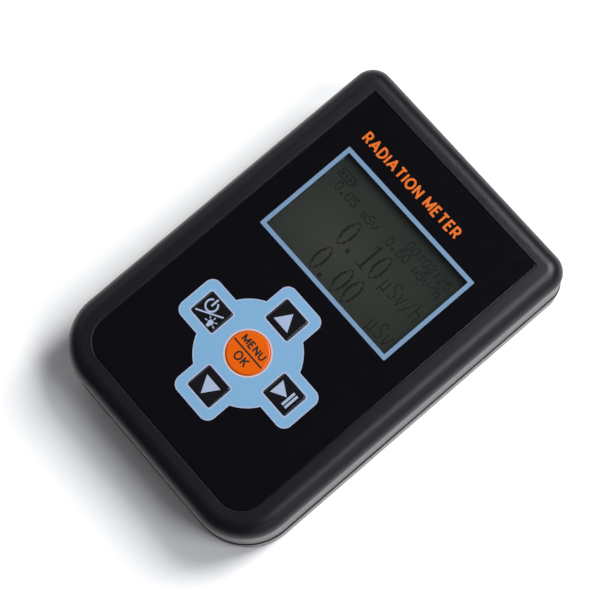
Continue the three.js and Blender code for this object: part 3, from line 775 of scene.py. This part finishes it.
def runs(text):
    """Runs of points, written as "x,y x,y; x,y x,y"."""
    return [[tuple(map(float, point.split(","))) for point in run.split()] for run in text.split(";")]


# Each letter's width, straight strokes and, for some, the centre, radii and angles of its bend.
LETTERS = {
    "A": (1, "0,0 .5,1 1,0; .2,.34 .8,.34"),
    "D": (0.8, ".3,0 0,0 0,1 .3,1", (0.3, 0.5, 0.7, 0.5, -90, 90)),
    "E": (0.62, "1,0 0,0 0,1 1,1; 0,.53 .9,.53"),
    "I": (0, "0,0 0,1"),
    "K": (0.75, "0,0 0,1; 1,1 0,.42; .32,.6 1,0"),
    "M": (1, "0,0 0,1 .5,.15 1,1 1,0"),
    "N": (0.8, "0,0 0,1 1,0 1,1"),
    "O": (1, "", (0.5, 0.5, 0.5, 0.5, 0, 360)),
    "R": (0.72, "0,0 0,1 .5,1; 0,.45 .5,.45 1,0", (0.5, 0.725, 0.45, 0.275, -90, 90)),
    "T": (0.8, "0,1 1,1; .5,1 .5,0"),
    "U": (0.78, "0,1 0,.36; 1,.36 1,1", (0.5, 0.36, 0.5, 0.36, 180, 360)),
    " ": (0.15, ""),
}
BEND_STEPS = 40


def bar(x0, y0, x1, y1, width):
    length = math.hypot(x1 - x0, y1 - y0)
    nx, ny = -(y1 - y0) / length * width / 2, (x1 - x0) / length * width / 2
    return [(x0 + nx, y0 + ny), (x0 - nx, y0 - ny), (x1 - nx, y1 - ny), (x1 + nx, y1 + ny)]


def bend(cx, cy, rx, ry, width, start, end):
    """The loops of a stroke along an oval: one for a part of it, two for the whole."""
    angles = [math.radians(start + (end - start) * n / BEND_STEPS) for n in range(BEND_STEPS + 1)]
    sides = []
    for out in (width / 2, -width / 2):
        sides.append([(cx + (rx + out) * math.cos(a), cy + (ry + out) * math.sin(a)) for a in angles])
    if end - start == 360:
        return [side[:-1] for side in sides]
    return [sides[0] + sides[1][::-1]]


def letter_strokes(letter, left, low, width, height, weight):
    strokes = []
    _, lines, *bends = LETTERS[letter]
    for run in runs(lines):
        points = [(left + x * width, low + y * height) for x, y in run]
        strokes += [[bar(*start, *end, weight)] for start, end in zip(points, points[1:])]
        strokes += [[circle(x, y, weight / 2, 16)] for x, y in points[1:-1]]
    for x, y, rx, ry, start, end in bends:
        oval = left + x * width, low + y * height, rx * width, ry * height
        strokes.append(bend(*oval, weight, start, end))
    return strokes


def text_strokes(text, left, right, low, high, weight, gap):
    """The strokes of a text that fills a box; the gap is a share of the letters' height."""
    left, right, low, high = left + weight / 2, right - weight / 2, low + weight / 2, high - weight / 2
    room = right - left - (len(text) - 1) * gap * (high - low)
    unit = room / sum(LETTERS[letter][0] for letter in text)
    strokes = []
    for letter in text:
        width = LETTERS[letter][0] * unit
        strokes += letter_strokes(letter, left, low, width, high - low, weight)
        left += width + gap * (high - low)
    return strokes


legend_box = -26.3 * MM, 13.6 * MM, 43.0 * MM, 46.7 * MM
legend = text_strokes("RADIATION METER", *legend_box, 0.68 * MM, 0.36)
plates = [flat_plate("stroke", loops, INK_FOOT_Z, LINE_Z) for loops in legend]
place(fuse(plates, "printed_legend"), "case", "label_film", INK_ORANGE)

# %% [markdown]
# ## The keys
# Each key is a cap lofted from the hidden rim that keeps it in its hole to a rounded top edge. Its sign is
# a thin inlay that moves with it.

# %% Key caps
KEY_EDGE = 0.6 * MM
KEY_SLOTS = {"menu": ("key_orange", KEY_ORANGE)}


def key_cap(name):
    low, high = key_boxes[name]
    rim_top = low.z + KEY_RIM
    rings = [(KEY_RIM, low.z), (KEY_RIM, rim_top), (0, rim_top)]
    for n in range(7):
        angle = math.radians(90 * n / 6)
        rings.append((-KEY_EDGE * (1 - math.cos(angle)), high.z - KEY_EDGE * (1 - math.sin(angle))))
    rings.append((-KEY_EDGE - 0.1 * MM, high.z))
    return loft(f"{name}_key_cap", [ring_at(key_outline(name, grow_by), z) for grow_by, z in rings])


for name in KEY_NAMES:
    slot, finish = KEY_SLOTS.get(name, ("key_black", KEY_BLACK))
    place(shade(key_cap(name)), "key_" + name, slot, finish, "key_" + name)

# %% Signs on the keys
SIGN_FOOT_Z = key_boxes["menu"][1].z - 0.01 * MM
SIGN_Z = key_boxes["menu"][1].z + 0.02 * MM


def sign_plate(name, *loops):
    """A flat sign from loops given in millimetres about the centre of its key."""
    centre = key_centre(name)
    loops = [[(centre.x + x * MM, centre.y + y * MM) for x, y in loop] for loop in loops]
    return flat_plate("sign", loops, SIGN_FOOT_Z, SIGN_Z)


def power_sign():
    """A switch mark and a lamp with rays, with a stroke between them."""
    parts = [
        *bend(-1.40, 1.12, 1.81, 1.81, 0.56, -240, 60),
        bar(-1.34, 0.95, -1.34, 3.60, 0.62),
        bar(-3.78, -2.95, 3.57, 1.29, 0.48),
        [(2.10 + x * 0.86, -2.30 + y * 0.86) for x, y in circle(0, 0, 1, 32)],
        bar(2.10, -3.05, 2.10, -3.75, 0.95),
    ]
    for n in range(5):
        angle = math.radians(-12 + 51 * n)
        c, s = math.cos(angle), math.sin(angle)
        parts.append(bar(2.10 + 1.15 * c, -2.30 + 1.15 * s, 2.10 + 1.95 * c, -2.30 + 1.95 * s, 0.34))
    return fuse([sign_plate("power", part) for part in parts], "power_key_sign")


def play_sign():
    triangle = [(-3.29, -2.46), (1.06, 0), (-3.29, 2.46)]
    bars = [bar(x, -2.38, x, 2.38, 0.75) for x in (1.70, 2.88)]
    return together([sign_plate("play", part) for part in (triangle, *bars)], "play_key_sign")


def arrow_sign(name, tip, base):
    sign = sign_plate(name, [(-2.92, base), (2.92, base), (0, tip)])
    sign.name = f"{name}_key_sign"
    return sign


def menu_sign():
    strokes = [[bar(-5.82, -0.07, 5.82, -0.07, 0.5)]]
    strokes += text_strokes("MENU", -4.45, 4.45, 0.95, 3.45, 0.52, 0.4)
    strokes += text_strokes("OK", -2.45, 2.45, -3.95, -1.0, 0.52, 0.35)
    return fuse([sign_plate("menu", *loops) for loops in strokes], "menu_key_sign")


signs = {
    "up": arrow_sign("up", 2.46, -2.40),
    "down": arrow_sign("down", -3.00, 1.82),
    "power": power_sign(),
    "play": play_sign(),
    "menu": menu_sign(),
}
for name, sign in signs.items():
    slot, _ = KEY_SLOTS.get(name, ("key_black", KEY_BLACK))
    place(sign, "key_" + name, slot, INK_BLACK if name == "menu" else INK_PALE)

# %% [markdown]
# ## The window and the display
# A clear pane with a hidden rim closes the opening. Behind it, dark dots in a matrix of 128 by 64 draw the
# reading: small letters from a five by seven font, and large ones from strokes turned into dots.

# %% Window pane
PANE = drifting(
    "clear_pane",
    (50, 3, (0.02, 0.021, 0.022), (0.03, 0.03, 0.03)),
    (400, 6, 0.04, 0.10),
    ((120, 1), 0.02 * MM, 0.15),
    IOR=1.49,
    Alpha=0.16,
)
rim_top_z = label_low.z - 0.1 * MM
PANE_EDGE = 0.15 * MM
pane_profile = [(WINDOW_RIM, window_low.z), (WINDOW_RIM, rim_top_z), (-PANE_EDGE, rim_top_z)]
pane_profile += [(-PANE_EDGE, window_high.z - 0.1 * MM), (-PANE_EDGE - 0.1 * MM, window_high.z)]
pane = loft("window_pane", [ring_at(window_outline(d), z) for d, z in pane_profile])
place(pane, "case", "clear_window", PANE, "display_window")

# %% Display dots
COLUMNS, ROWS = 128, 64
DOT = Vector((0.375, 0.4375)) * MM
matrix_centre = (window_low + window_high) / 2 + Vector((-0.1, -1.5, 0)) * MM
SMALL_LETTERS = {
    "0": ".###. #...# #...# #...# #...# #...# .###.",
    "2": ".###. #...# ....# ..##. .#... #.... #####",
    "3": ".###. #...# ....# ..##. ....# #...# .###.",
    "5": "##### #.... ####. ....# ....# #...# .###.",
    ":": "..... ..##. ..##. ..... ..##. ..##. .....",
    ".": "..... ..... ..... ..... ..... .##.. .##..",
    "m": "..... ..... ##.#. #.#.# #.#.# #.#.# #.#.#",
    "S": ".#### #.... #.... .###. ....# ....# ####.",
    "v": "..... ..... #...# #...# #...# .#.#. ..#..",
    "u": "..... ..... #...# #...# #..## ###.# #....",
    "/": "..... ....# ...#. ..#.. .#... #.... .....",
    "h": "#.... #.... #.##. ##..# #...# #...# #...#",
    " ": "..... ..... ..... ..... ..... ..... .....",
}
LARGE_LETTERS = {
    "u": runs("1,15 1,5; 1,12 4,12 5,11; 5,5 5,12 6,12"),
    "S": runs("6,2 5,1 2,1 1,2 1,5 2,6 5,7 6,8 6,11 5,12 2,12 1,11"),
    "v": runs("1,4 3,12; 4,12 6,4"),
    "/": runs("0,14 7,0"),
    "h": runs("1,0 1,12; 1,6 2,5 5,5 6,6 6,12"),
    "0": runs("7,2 9,4 10,6 11,9 11,14 10,17 9,19 7,21; 9,5 10,9 10,14 9,18"),
    "1": runs("4,4 7,2 7,21; 8,2 8,21; 4,21 11,21"),
    ".": runs("0,0 0,2; 1,0 1,2; 2,0 2,2"),
    "battery": runs("1,0 15,0 15,6 1,6 1,0; 16,2 17,2 17,4 16,4"),
}
LARGE_LETTERS["0"] += [[(13 - x, y) for x, y in line] for line in LARGE_LETTERS["0"]]
LARGE_LETTERS["battery"] += [[(x, 2), (x, 4)] for x in (3, 4, 7, 8, 11, 12)]
SMALL_TEXTS = [("00:03:25", 79, 0), ("0.05 mSv", 7, 8), ("0.50 uSv/h", 66, 8)]
LARGE_TEXT = [("battery", 0, 0), ("0", 36, 16), (".", 51, 35), ("1", 60, 16), ("0", 72, 16)]
LARGE_TEXT += [("0", 36, 40), (".", 51, 59), ("0", 60, 40), ("0", 72, 40)]
LARGE_TEXT += [(letter, 88 + 8 * n, 24) for n, letter in enumerate("uSv/h")]
LARGE_TEXT += [(letter, 104 + 8 * n, 48) for n, letter in enumerate("uSv")]


def small_text(text, column, row):
    for letter in text:
        for down, line in enumerate(SMALL_LETTERS[letter].split()):
            for across, mark in enumerate(line):
                if mark == "#":
                    yield column + across, row + down
        column += 6


def stroke_dots(points, column, row):
    for (x0, y0), (x1, y1) in zip(points, points[1:]):
        steps = int(max(abs(x1 - x0), abs(y1 - y0), 1))
        for n in range(steps + 1):
            yield column + round(x0 + (x1 - x0) * n / steps), row + round(y0 + (y1 - y0) * n / steps)


dots = {dot for text in SMALL_TEXTS for dot in small_text(*text)}
for letter, *corner in LARGE_TEXT:
    dots |= {dot for line in LARGE_LETTERS[letter] for dot in stroke_dots(line, *corner)}
print("dots on:", len(dots))


def dot_matrix():
    tree, given = new_tree("dot_matrix", Size="Vector")
    dot = add_node(tree, "MeshCube", Size=given["Size"])
    copies = add_node(tree, "InstanceOnPoints", Points=given["Mesh"], Instance=dot)
    return end_tree(tree, copies, given["Finish"])


LCD_INK = even_finish(
    "lcd_dot", (0.0050, 0.0062, 0.0050), (0.0066, 0.0078, 0.0064), 400, (0.15, 0.22), 5000, 0.002 * MM
)
dot_places = [
    (matrix_centre.x + (column + 0.5 - COLUMNS / 2) * DOT.x, matrix_centre.y - (row + 0.5 - ROWS / 2) * DOT.y)
    for column, row in sorted(dots)
]
dot_size = (0.96 * DOT.x, 0.96 * DOT.y, 0.02 * MM)
dot_places = ring_at(dot_places, glass_top_z + 0.005 * MM)
reading = grow("lcd_reading", dot_matrix(), dot_places, Size=dot_size, Finish=LCD_INK)
place(reading, "case", "display_glass", LCD_INK)

# %% [markdown]
# ## Screws
# Four screws come in from the rear, and four smaller ones hold the board. A screw has a domed head, a cross
# recess and a helical thread, a tube whose radius depends on the height and the angle together.

# %% Screws
HEAD_STEPS, THREAD_STEPS, ROWS_PER_TURN = 6, 20, 6


def screw(name, head_radius, head_height, shank_radius, length, pitch):
    """A screw on the ground plane with its head below and its point up."""
    profile = [(0.55 * head_radius, 0)]
    for n in range(HEAD_STEPS + 1):
        angle = math.radians(15 * n)
        rise = 0.5 * head_height * (1 - math.cos(angle))
        profile.append((head_radius * (0.62 + 0.38 * math.sin(angle)), rise))
    profile += [(head_radius, head_height), (0.8 * shank_radius, head_height)]
    head = turned(name, profile)
    arm, half_slot, depth = 0.6 * head_radius, 0.15 * head_radius, 0.6 * head_height
    for x, y in ((arm, half_slot), (half_slot, arm)):
        head = combine(head, [block("cross", (-x, -y, -MM), (x, y, depth))], "DIFFERENCE")
    rings = []
    rows = int((length - head_height) / pitch * ROWS_PER_TURN)
    for row in range(rows + 1):
        z = 0.9 * head_height + (length - 0.9 * head_height) * row / rows
        taper = min(1, 0.25 + (length - z) / (3 * shank_radius))
        rings.append([])
        for n in range(THREAD_STEPS):
            ridge = abs((z / pitch - n / THREAD_STEPS) % 1 - 0.5)
            radius = shank_radius * taper * (0.8 + 0.4 * ridge)
            angle = 2 * math.pi * (n / THREAD_STEPS)
            rings[-1].append((radius * math.cos(angle), radius * math.sin(angle), z))
    return together([head, loft("thread", rings)], name)


def metal(name, first, second, gloss, scale=600, stretch=(1, 1, 1)):
    """A metal with fine streaks in its gloss and a slight change of colour."""
    sheen, streaks = (3 * scale, 5, *gloss), ((4 * scale, 3), 0.01 * MM, 0.4)
    return drifting(name, (scale, 4, first, second), sheen, streaks, stretch=stretch, Metallic=1.0)


DARK_STEEL = metal("blackened_steel", (0.055, 0.055, 0.060), (0.080, 0.078, 0.080), (0.30, 0.45))
BRIGHT_STEEL = metal("nickel_plated_steel", (0.560, 0.550, 0.530), (0.640, 0.630, 0.610), (0.18, 0.34))


def place_screws(kind, head_radius, head_height, shank_radius, pitch, slot, finish):
    """The screws of one kind, whose sizes are given in millimetres."""
    nodes = [f"{kind}_screw_{n}" for n in SCREWS]
    boxes = [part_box(node) for node in nodes]
    spots = [((low.x + high.x) / 2, (low.y + high.y) / 2, low.z) for low, high in boxes]
    length = boxes[0][1].z - boxes[0][0].z
    one = screw("one", head_radius * MM, head_height * MM, shank_radius * MM, length, pitch * MM)
    screws = grow(f"{kind}_screws", copies_on_points(), spots, Shape=one, Finish=finish)
    bpy.data.objects.remove(one)
    place(shade(screws), "case", slot, finish, *nodes)


place_screws("case", 2.7, 1.9, 1.3, 0.9, "dark_steel", DARK_STEEL)
place_screws("board", 2.0, 1.5, 0.85, 0.7, "bright_steel", BRIGHT_STEEL)

# %% [markdown]
# ## Cells and springs
# Two cells lie side by side and point opposite ways, each a turned steel can with a shrink sleeve. A
# contact spring is a conical coil, a spiral curve with a round wire swept along it.

# %% Cells
CELL_NAMES = {"cell_1": 1, "cell_2": -1}
BUTTON = 1.2 * MM
AXIS = 0.01 * MM
# Profiles in millimetres: how far inside the cell's radius, and how far from the end towards the middle.
CAN_FOOT = [(1.2, 0), (0.9, 0.25), (0.5, 0), (0.15, 0.3), (0.08, 0.7)]
CAN_TOP = [(0.08, 0.7), (0.2, 0.2), (0.6, 0)]
SLEEVE_TOP = [(0.7, 0.25), (0.7, -0.02), (0.3, -0.02), (0, 0.35)]
SLEEVE_FOOT = [(0, 0.35), (0.3, -0.02), (0.45, -0.02), (0.45, 0.25)]
BAND_START = 17.4 * MM


def cell_parts(name, side):
    low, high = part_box(name)
    half, radius = (high.y - low.y - BUTTON) / 2, (high.x - low.x) / 2
    centre = (low.x + high.x) / 2, (low.y + high.y - side * BUTTON) / 2, (low.z + high.z) / 2
    can = [(AXIS, -half)] + [(radius - inset * MM, -half + rise * MM) for inset, rise in CAN_FOOT]
    can += [(radius - inset * MM, half - drop * MM) for inset, drop in CAN_TOP]
    can += [(2.9 * MM, half - 0.1 * MM), (2.75 * MM, half), (2.7 * MM, half + 0.9 * BUTTON)]
    can += [(2.5 * MM, half + BUTTON), (AXIS, half + BUTTON)]
    sleeve = [(radius - inset * MM, half - drop * MM) for inset, drop in SLEEVE_TOP]
    sleeve += [(radius - inset * MM, -half + rise * MM) for inset, rise in SLEEVE_FOOT]
    for profile in (can, sleeve):
        piece = turned("cell", [(radius, side * along) for radius, along in profile], 64)
        piece.data.transform(Matrix.Translation(centre) @ Matrix.Rotation(math.radians(-90), 4, "X"))
        yield together([piece], "cell", weld=True)


def sleeve_finish():
    """A deep blue sleeve with a copper band near each end."""
    material = new_finish("cell_sleeve")
    tree = material.node_tree
    along = add_node(tree, "SeparateXYZ", "Y", Vector=add_node(tree, "TexCoord", "Object"))
    low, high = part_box("cell_1")
    offset = add_node(tree, "Math", Value=along)
    offset.node.inputs[1].default_value = -(low.y + high.y) / 2
    distance = add_node(tree, "Math", Value=offset)
    distance.node.operation = "ABSOLUTE"
    band = remap(distance, 0, 1, BAND_START, BAND_START + 0.2 * MM)
    blue = blend_colors(noise(material, 120, 4), (0.020, 0.045, 0.130), (0.028, 0.060, 0.165))
    tone = blend_colors(band, blue, (0.420, 0.190, 0.065))
    return coat(material, tone, (500, 5, 0.22, 0.36), ((900, 3), 0.02 * MM, 0.3))


SLEEVE = sleeve_finish()
cans, sleeves = zip(*(cell_parts(name, side) for name, side in CELL_NAMES.items()))
place(shade(together(cans, "cell_cans")), "case", "cell_sleeve", BRIGHT_STEEL, *CELL_NAMES)
place(shade(together(sleeves, "cell_sleeves")), "case", "cell_sleeve", SLEEVE)

# %% Contact springs
SPIRAL = "Rotations", "Start_Radius", "End_Radius", "Height"


def coil_tree():
    tree, given = new_tree("coil", **dict.fromkeys((*SPIRAL, "Wire"), "Float"))
    spiral = {label: given[label] for label in SPIRAL}
    path = add_node(tree, "CurveSpiral", Resolution=40, **spiral)
    wire = add_node(tree, "CurvePrimitiveCircle", Resolution=12, Radius=given["Wire"])
    swept = add_node(tree, "CurveToMesh", Curve=path, Profile_Curve=wire, Fill_Caps=True)
    return end_tree(tree, swept, given["Finish"])


def contact_spring(node, side):
    """A conical coil in a node's box, with its wide end at the contact plate."""
    low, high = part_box(node)
    cell_low, cell_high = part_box("cell_1")
    wire = 0.3 * MM
    sizes = dict(zip(SPIRAL, (2.5, 3.4 * MM, 2.5 * MM, high.y - low.y - 2 * wire)))
    coil = grow("coil", coil_tree(), Finish=BRIGHT_STEEL, Wire=wire, **sizes)
    start = low.y + wire if side > 0 else high.y - wire
    centre = (low.x + high.x) / 2, start, (cell_low.z + cell_high.z) / 2
    lie = Matrix.Rotation(math.radians(-90 * side), 4, "X")
    coil.data.transform(Matrix.Translation(centre) @ lie)
    return together([coil], node, weld=True)


spring_sides = {"contact_spring_1": 1, "contact_spring_2": -1}
springs = together([contact_spring(*spring) for spring in spring_sides.items()], "contact_springs")
place(shade(springs, 50), "case", "bright_steel", BRIGHT_STEEL, *spring_sides)

# %% [markdown]
# ## Parts that keep their frame shape
# The parts inside the case only need finishes. The display's glass owes its grey-green to the reflector
# behind the liquid crystal, and faint lines show the rows of the matrix. Its colour also holds painted
# light: a brighter patch that fades into painted shade towards the corners.

# %% Finishes of the inner parts
# Centre and reach of the painted pool of light on the display glass.
PAINTED_LIGHT_CENTRE = Vector((-8, 17)) * MM
PAINTED_LIGHT_REACH = Vector((45, 22)) * MM


def lcd_field():
    """Grey-green with a painted pool of light that fades into painted shade towards the corners."""
    material = new_finish("lcd_field", IOR=1.45)
    tree = material.node_tree
    where = add_node(tree, "TexCoord", "Object")
    reach = Vector((1 / PAINTED_LIGHT_REACH.x, 1 / PAINTED_LIGHT_REACH.y, 0))
    centre = (-PAINTED_LIGHT_CENTRE.x * reach.x, -PAINTED_LIGHT_CENTRE.y * reach.y, 0)
    patch = add_node(tree, "Mapping", Vector=where, Location=centre, Scale=reach)
    painted_light_fade = add_node(tree, "TexGradient", "Fac", Vector=patch)
    painted_light_fade.node.gradient_type = "SPHERICAL"
    tone = blend_colors(noise(material, 40, 2), (0.048, 0.052, 0.041), (0.053, 0.056, 0.044))
    # Painted shade: the grey-green darkens to a deep green away from the painted pool of light.
    tone = blend_colors(remap(painted_light_fade, 1, 0, 0, 1), tone, (0.018, 0.028, 0.020))
    rows = add_node(tree, "TexWave", "Fac", Vector=where, Scale=math.pi / 10 / DOT.y)
    rows.node.bands_direction = "Y"
    tone = blend_colors(remap(rows, 0, 0.06, 0, 1), tone, (0.018, 0.020, 0.016))
    return coat(material, tone, (800, 4, 0.12, 0.18), ((3000, 2), 0.003 * MM, 0.3))


def board_finish():
    """Solder mask over tracks, as bands that wander with a noise."""
    material = new_finish("green_laminate", IOR=1.5)
    tree = material.node_tree
    where = add_node(tree, "TexCoord", "Object")
    tracks = add_node(tree, "TexWave", "Fac", Vector=where, Scale=160, Distortion=3)
    tracks.node.bands_direction = "DIAGONAL"
    step = remap(tracks, 0, 1, 0.62, 0.70)
    mask = blend_colors(noise(material, 300, 4), (0.006, 0.060, 0.022), (0.010, 0.080, 0.030))
    tone = blend_colors(step, mask, (0.020, 0.150, 0.055))
    layers = (step, 0.03 * MM, 0.5), ((4000, 2), 0.01 * MM, 0.3)
    return coat(material, tone, (700, 5, 0.28, 0.42), *layers)


LCD_FIELD = lcd_field()
BOARD = board_finish()
PLASTICS = {
    "light_guide": ((0.74, 0.74, 0.72), (0.80, 0.80, 0.78), 200, (0.25, 0.4), 3000, 0.01 * MM),
    "conductive_rubber": ((0.018, 0.018, 0.019), (0.03, 0.03, 0.032), 700, (0.65, 0.8), 5000, 0.02 * MM),
    "switch_plastic": ((0.024, 0.024, 0.026), (0.034, 0.034, 0.037), 500, (0.4, 0.55), 4000, 0.02 * MM),
    "chip_resin": ((0.014, 0.014, 0.015), (0.022, 0.022, 0.023), 900, (0.5, 0.65), 6000, 0.03 * MM),
    "capacitor_resin": ((0.09, 0.032, 0.016), (0.12, 0.045, 0.022), 500, (0.3, 0.45), 3000, 0.02 * MM),
}
PLASTICS = {name: even_finish(name, *recipe) for name, recipe in PLASTICS.items()}
BRASS = (0.480, 0.400, 0.230), (0.560, 0.470, 0.290)
TUBE = metal("counting_tube_metal", *BRASS, (0.25, 0.40), 300, (1, 0.1, 1))

INNER = {
    "lcd_glass": LCD_FIELD,
    "lcd_backlight": PLASTICS["light_guide"],
    "lcd_contact_strip": PLASTICS["conductive_rubber"],
    "main_board": BOARD,
    "hv_capacitor": PLASTICS["capacitor_resin"],
    "geiger_tube": TUBE,
}
INNER |= dict.fromkeys(("microcontroller", "hv_transformer", "sounder"), PLASTICS["chip_resin"])
INNER |= dict.fromkeys(("lcd_bezel", "crystal", "tube_clip_1", "tube_clip_2"), BRIGHT_STEEL)
INNER |= dict.fromkeys(("contact_positive", "contact_negative", "contact_bridge"), BRIGHT_STEEL)
INNER |= {part + name: PLASTICS["switch_plastic"] for part in ("plunger_", "switch_") for name in KEY_NAMES}
for node, finish in INNER.items():
    for mesh_slot in bpy.data.objects[node].material_slots:
        mesh_slot.link = "OBJECT"
        mesh_slot.material = finish
print("frame parts with a finish:", len(INNER))

# %% [markdown]
# ## Table, light and camera
# The main light stands beyond the display end and throws a soft shadow towards the keypad end. Two on the
# right draw the bright lines along the case's edge, and a large dim one on the left lifts that side.
# Nothing bright stands where the glossy film would mirror it into the camera.

# %% Table
table = block("table_top", (-1.5, -1.5, -0.02), (1.5, 1.5, 0))
WHITES = (0.88, 0.88, 0.88), (0.90, 0.90, 0.90)
TABLE = even_finish("white_table", *WHITES, 30, (0.75, 0.85), 900, 0.02 * MM)
table.data.materials.append(TABLE)

# %% Lights
AIM = Vector((0, 0, 0.02))


def area_light(name, azimuth, elevation, distance, width, height, power, tint):
    """A rectangular light that faces the instrument; azimuth 0 stands towards +X and 90 towards +Y."""
    lamp = bpy.data.lights.new(name, "AREA")
    lamp.shape = "RECTANGLE"
    lamp.size, lamp.size_y, lamp.energy, lamp.color = width, height, power, tint
    light = bpy.data.objects.new(name, lamp)
    scene.collection.objects.link(light)
    a, e = math.radians(azimuth), math.radians(elevation)
    away = Vector((math.cos(a) * math.cos(e), math.sin(a) * math.cos(e), math.sin(e)))
    turn = away.to_track_quat("Z", "Y").to_matrix().to_4x4()
    light.matrix_world = Matrix.Translation(AIM + distance * away) @ turn


area_light("main_light", 75, 53, 1.5, 0.45, 0.7, 25, (0.98, 0.99, 1.0))
area_light("side_light", 26, 57, 1.5, 0.45, 0.4, 8.5, (0.95, 0.97, 1.0))
area_light("right_panel", 0, 24, 1.2, 1.2, 0.5, 3, (0.93, 0.95, 1.0))
area_light("left_wall", 162, 33, 1.5, 2.0, 1.3, 7, (0.97, 0.98, 1.0))

world = bpy.data.worlds.new("dim_room")
scene.world = world
world.use_nodes = True
set_inputs(world.node_tree.nodes["Background"], Color=(0.95, 0.95, 1.0, 1), Strength=0.05)
scene.view_settings.view_transform = "Standard"
scene.view_settings.look = "None"

# %% Camera
CAMERA_TARGET = Vector((-1.95, -0.98, 27.4)) * MM
CAMERA_DISTANCE = 547.7 * MM
CAMERA_ANGLES = 61.25, 77.06, -12.27
LENS, SENSOR = 116.56, 36

turn, height, roll = (math.radians(angle) for angle in CAMERA_ANGLES)
back = Vector((math.sin(turn) * math.cos(height), -math.cos(turn) * math.cos(height), math.sin(height)))
level = Vector((math.cos(turn), math.sin(turn), 0))
right = math.cos(roll) * level + math.sin(roll) * back.cross(level)
axes = Matrix((right, back.cross(right), back)).transposed()
spot = CAMERA_TARGET + CAMERA_DISTANCE * back
camera = bpy.data.objects.new("camera", bpy.data.cameras.new("camera"))
scene.collection.objects.link(camera)
camera.data.lens, camera.data.sensor_width = LENS, SENSOR
camera.matrix_world = Matrix.Translation(spot) @ axes.to_4x4()
scene.camera = camera
print("camera at, mm:", [round(c / MM, 1) for c in spot])
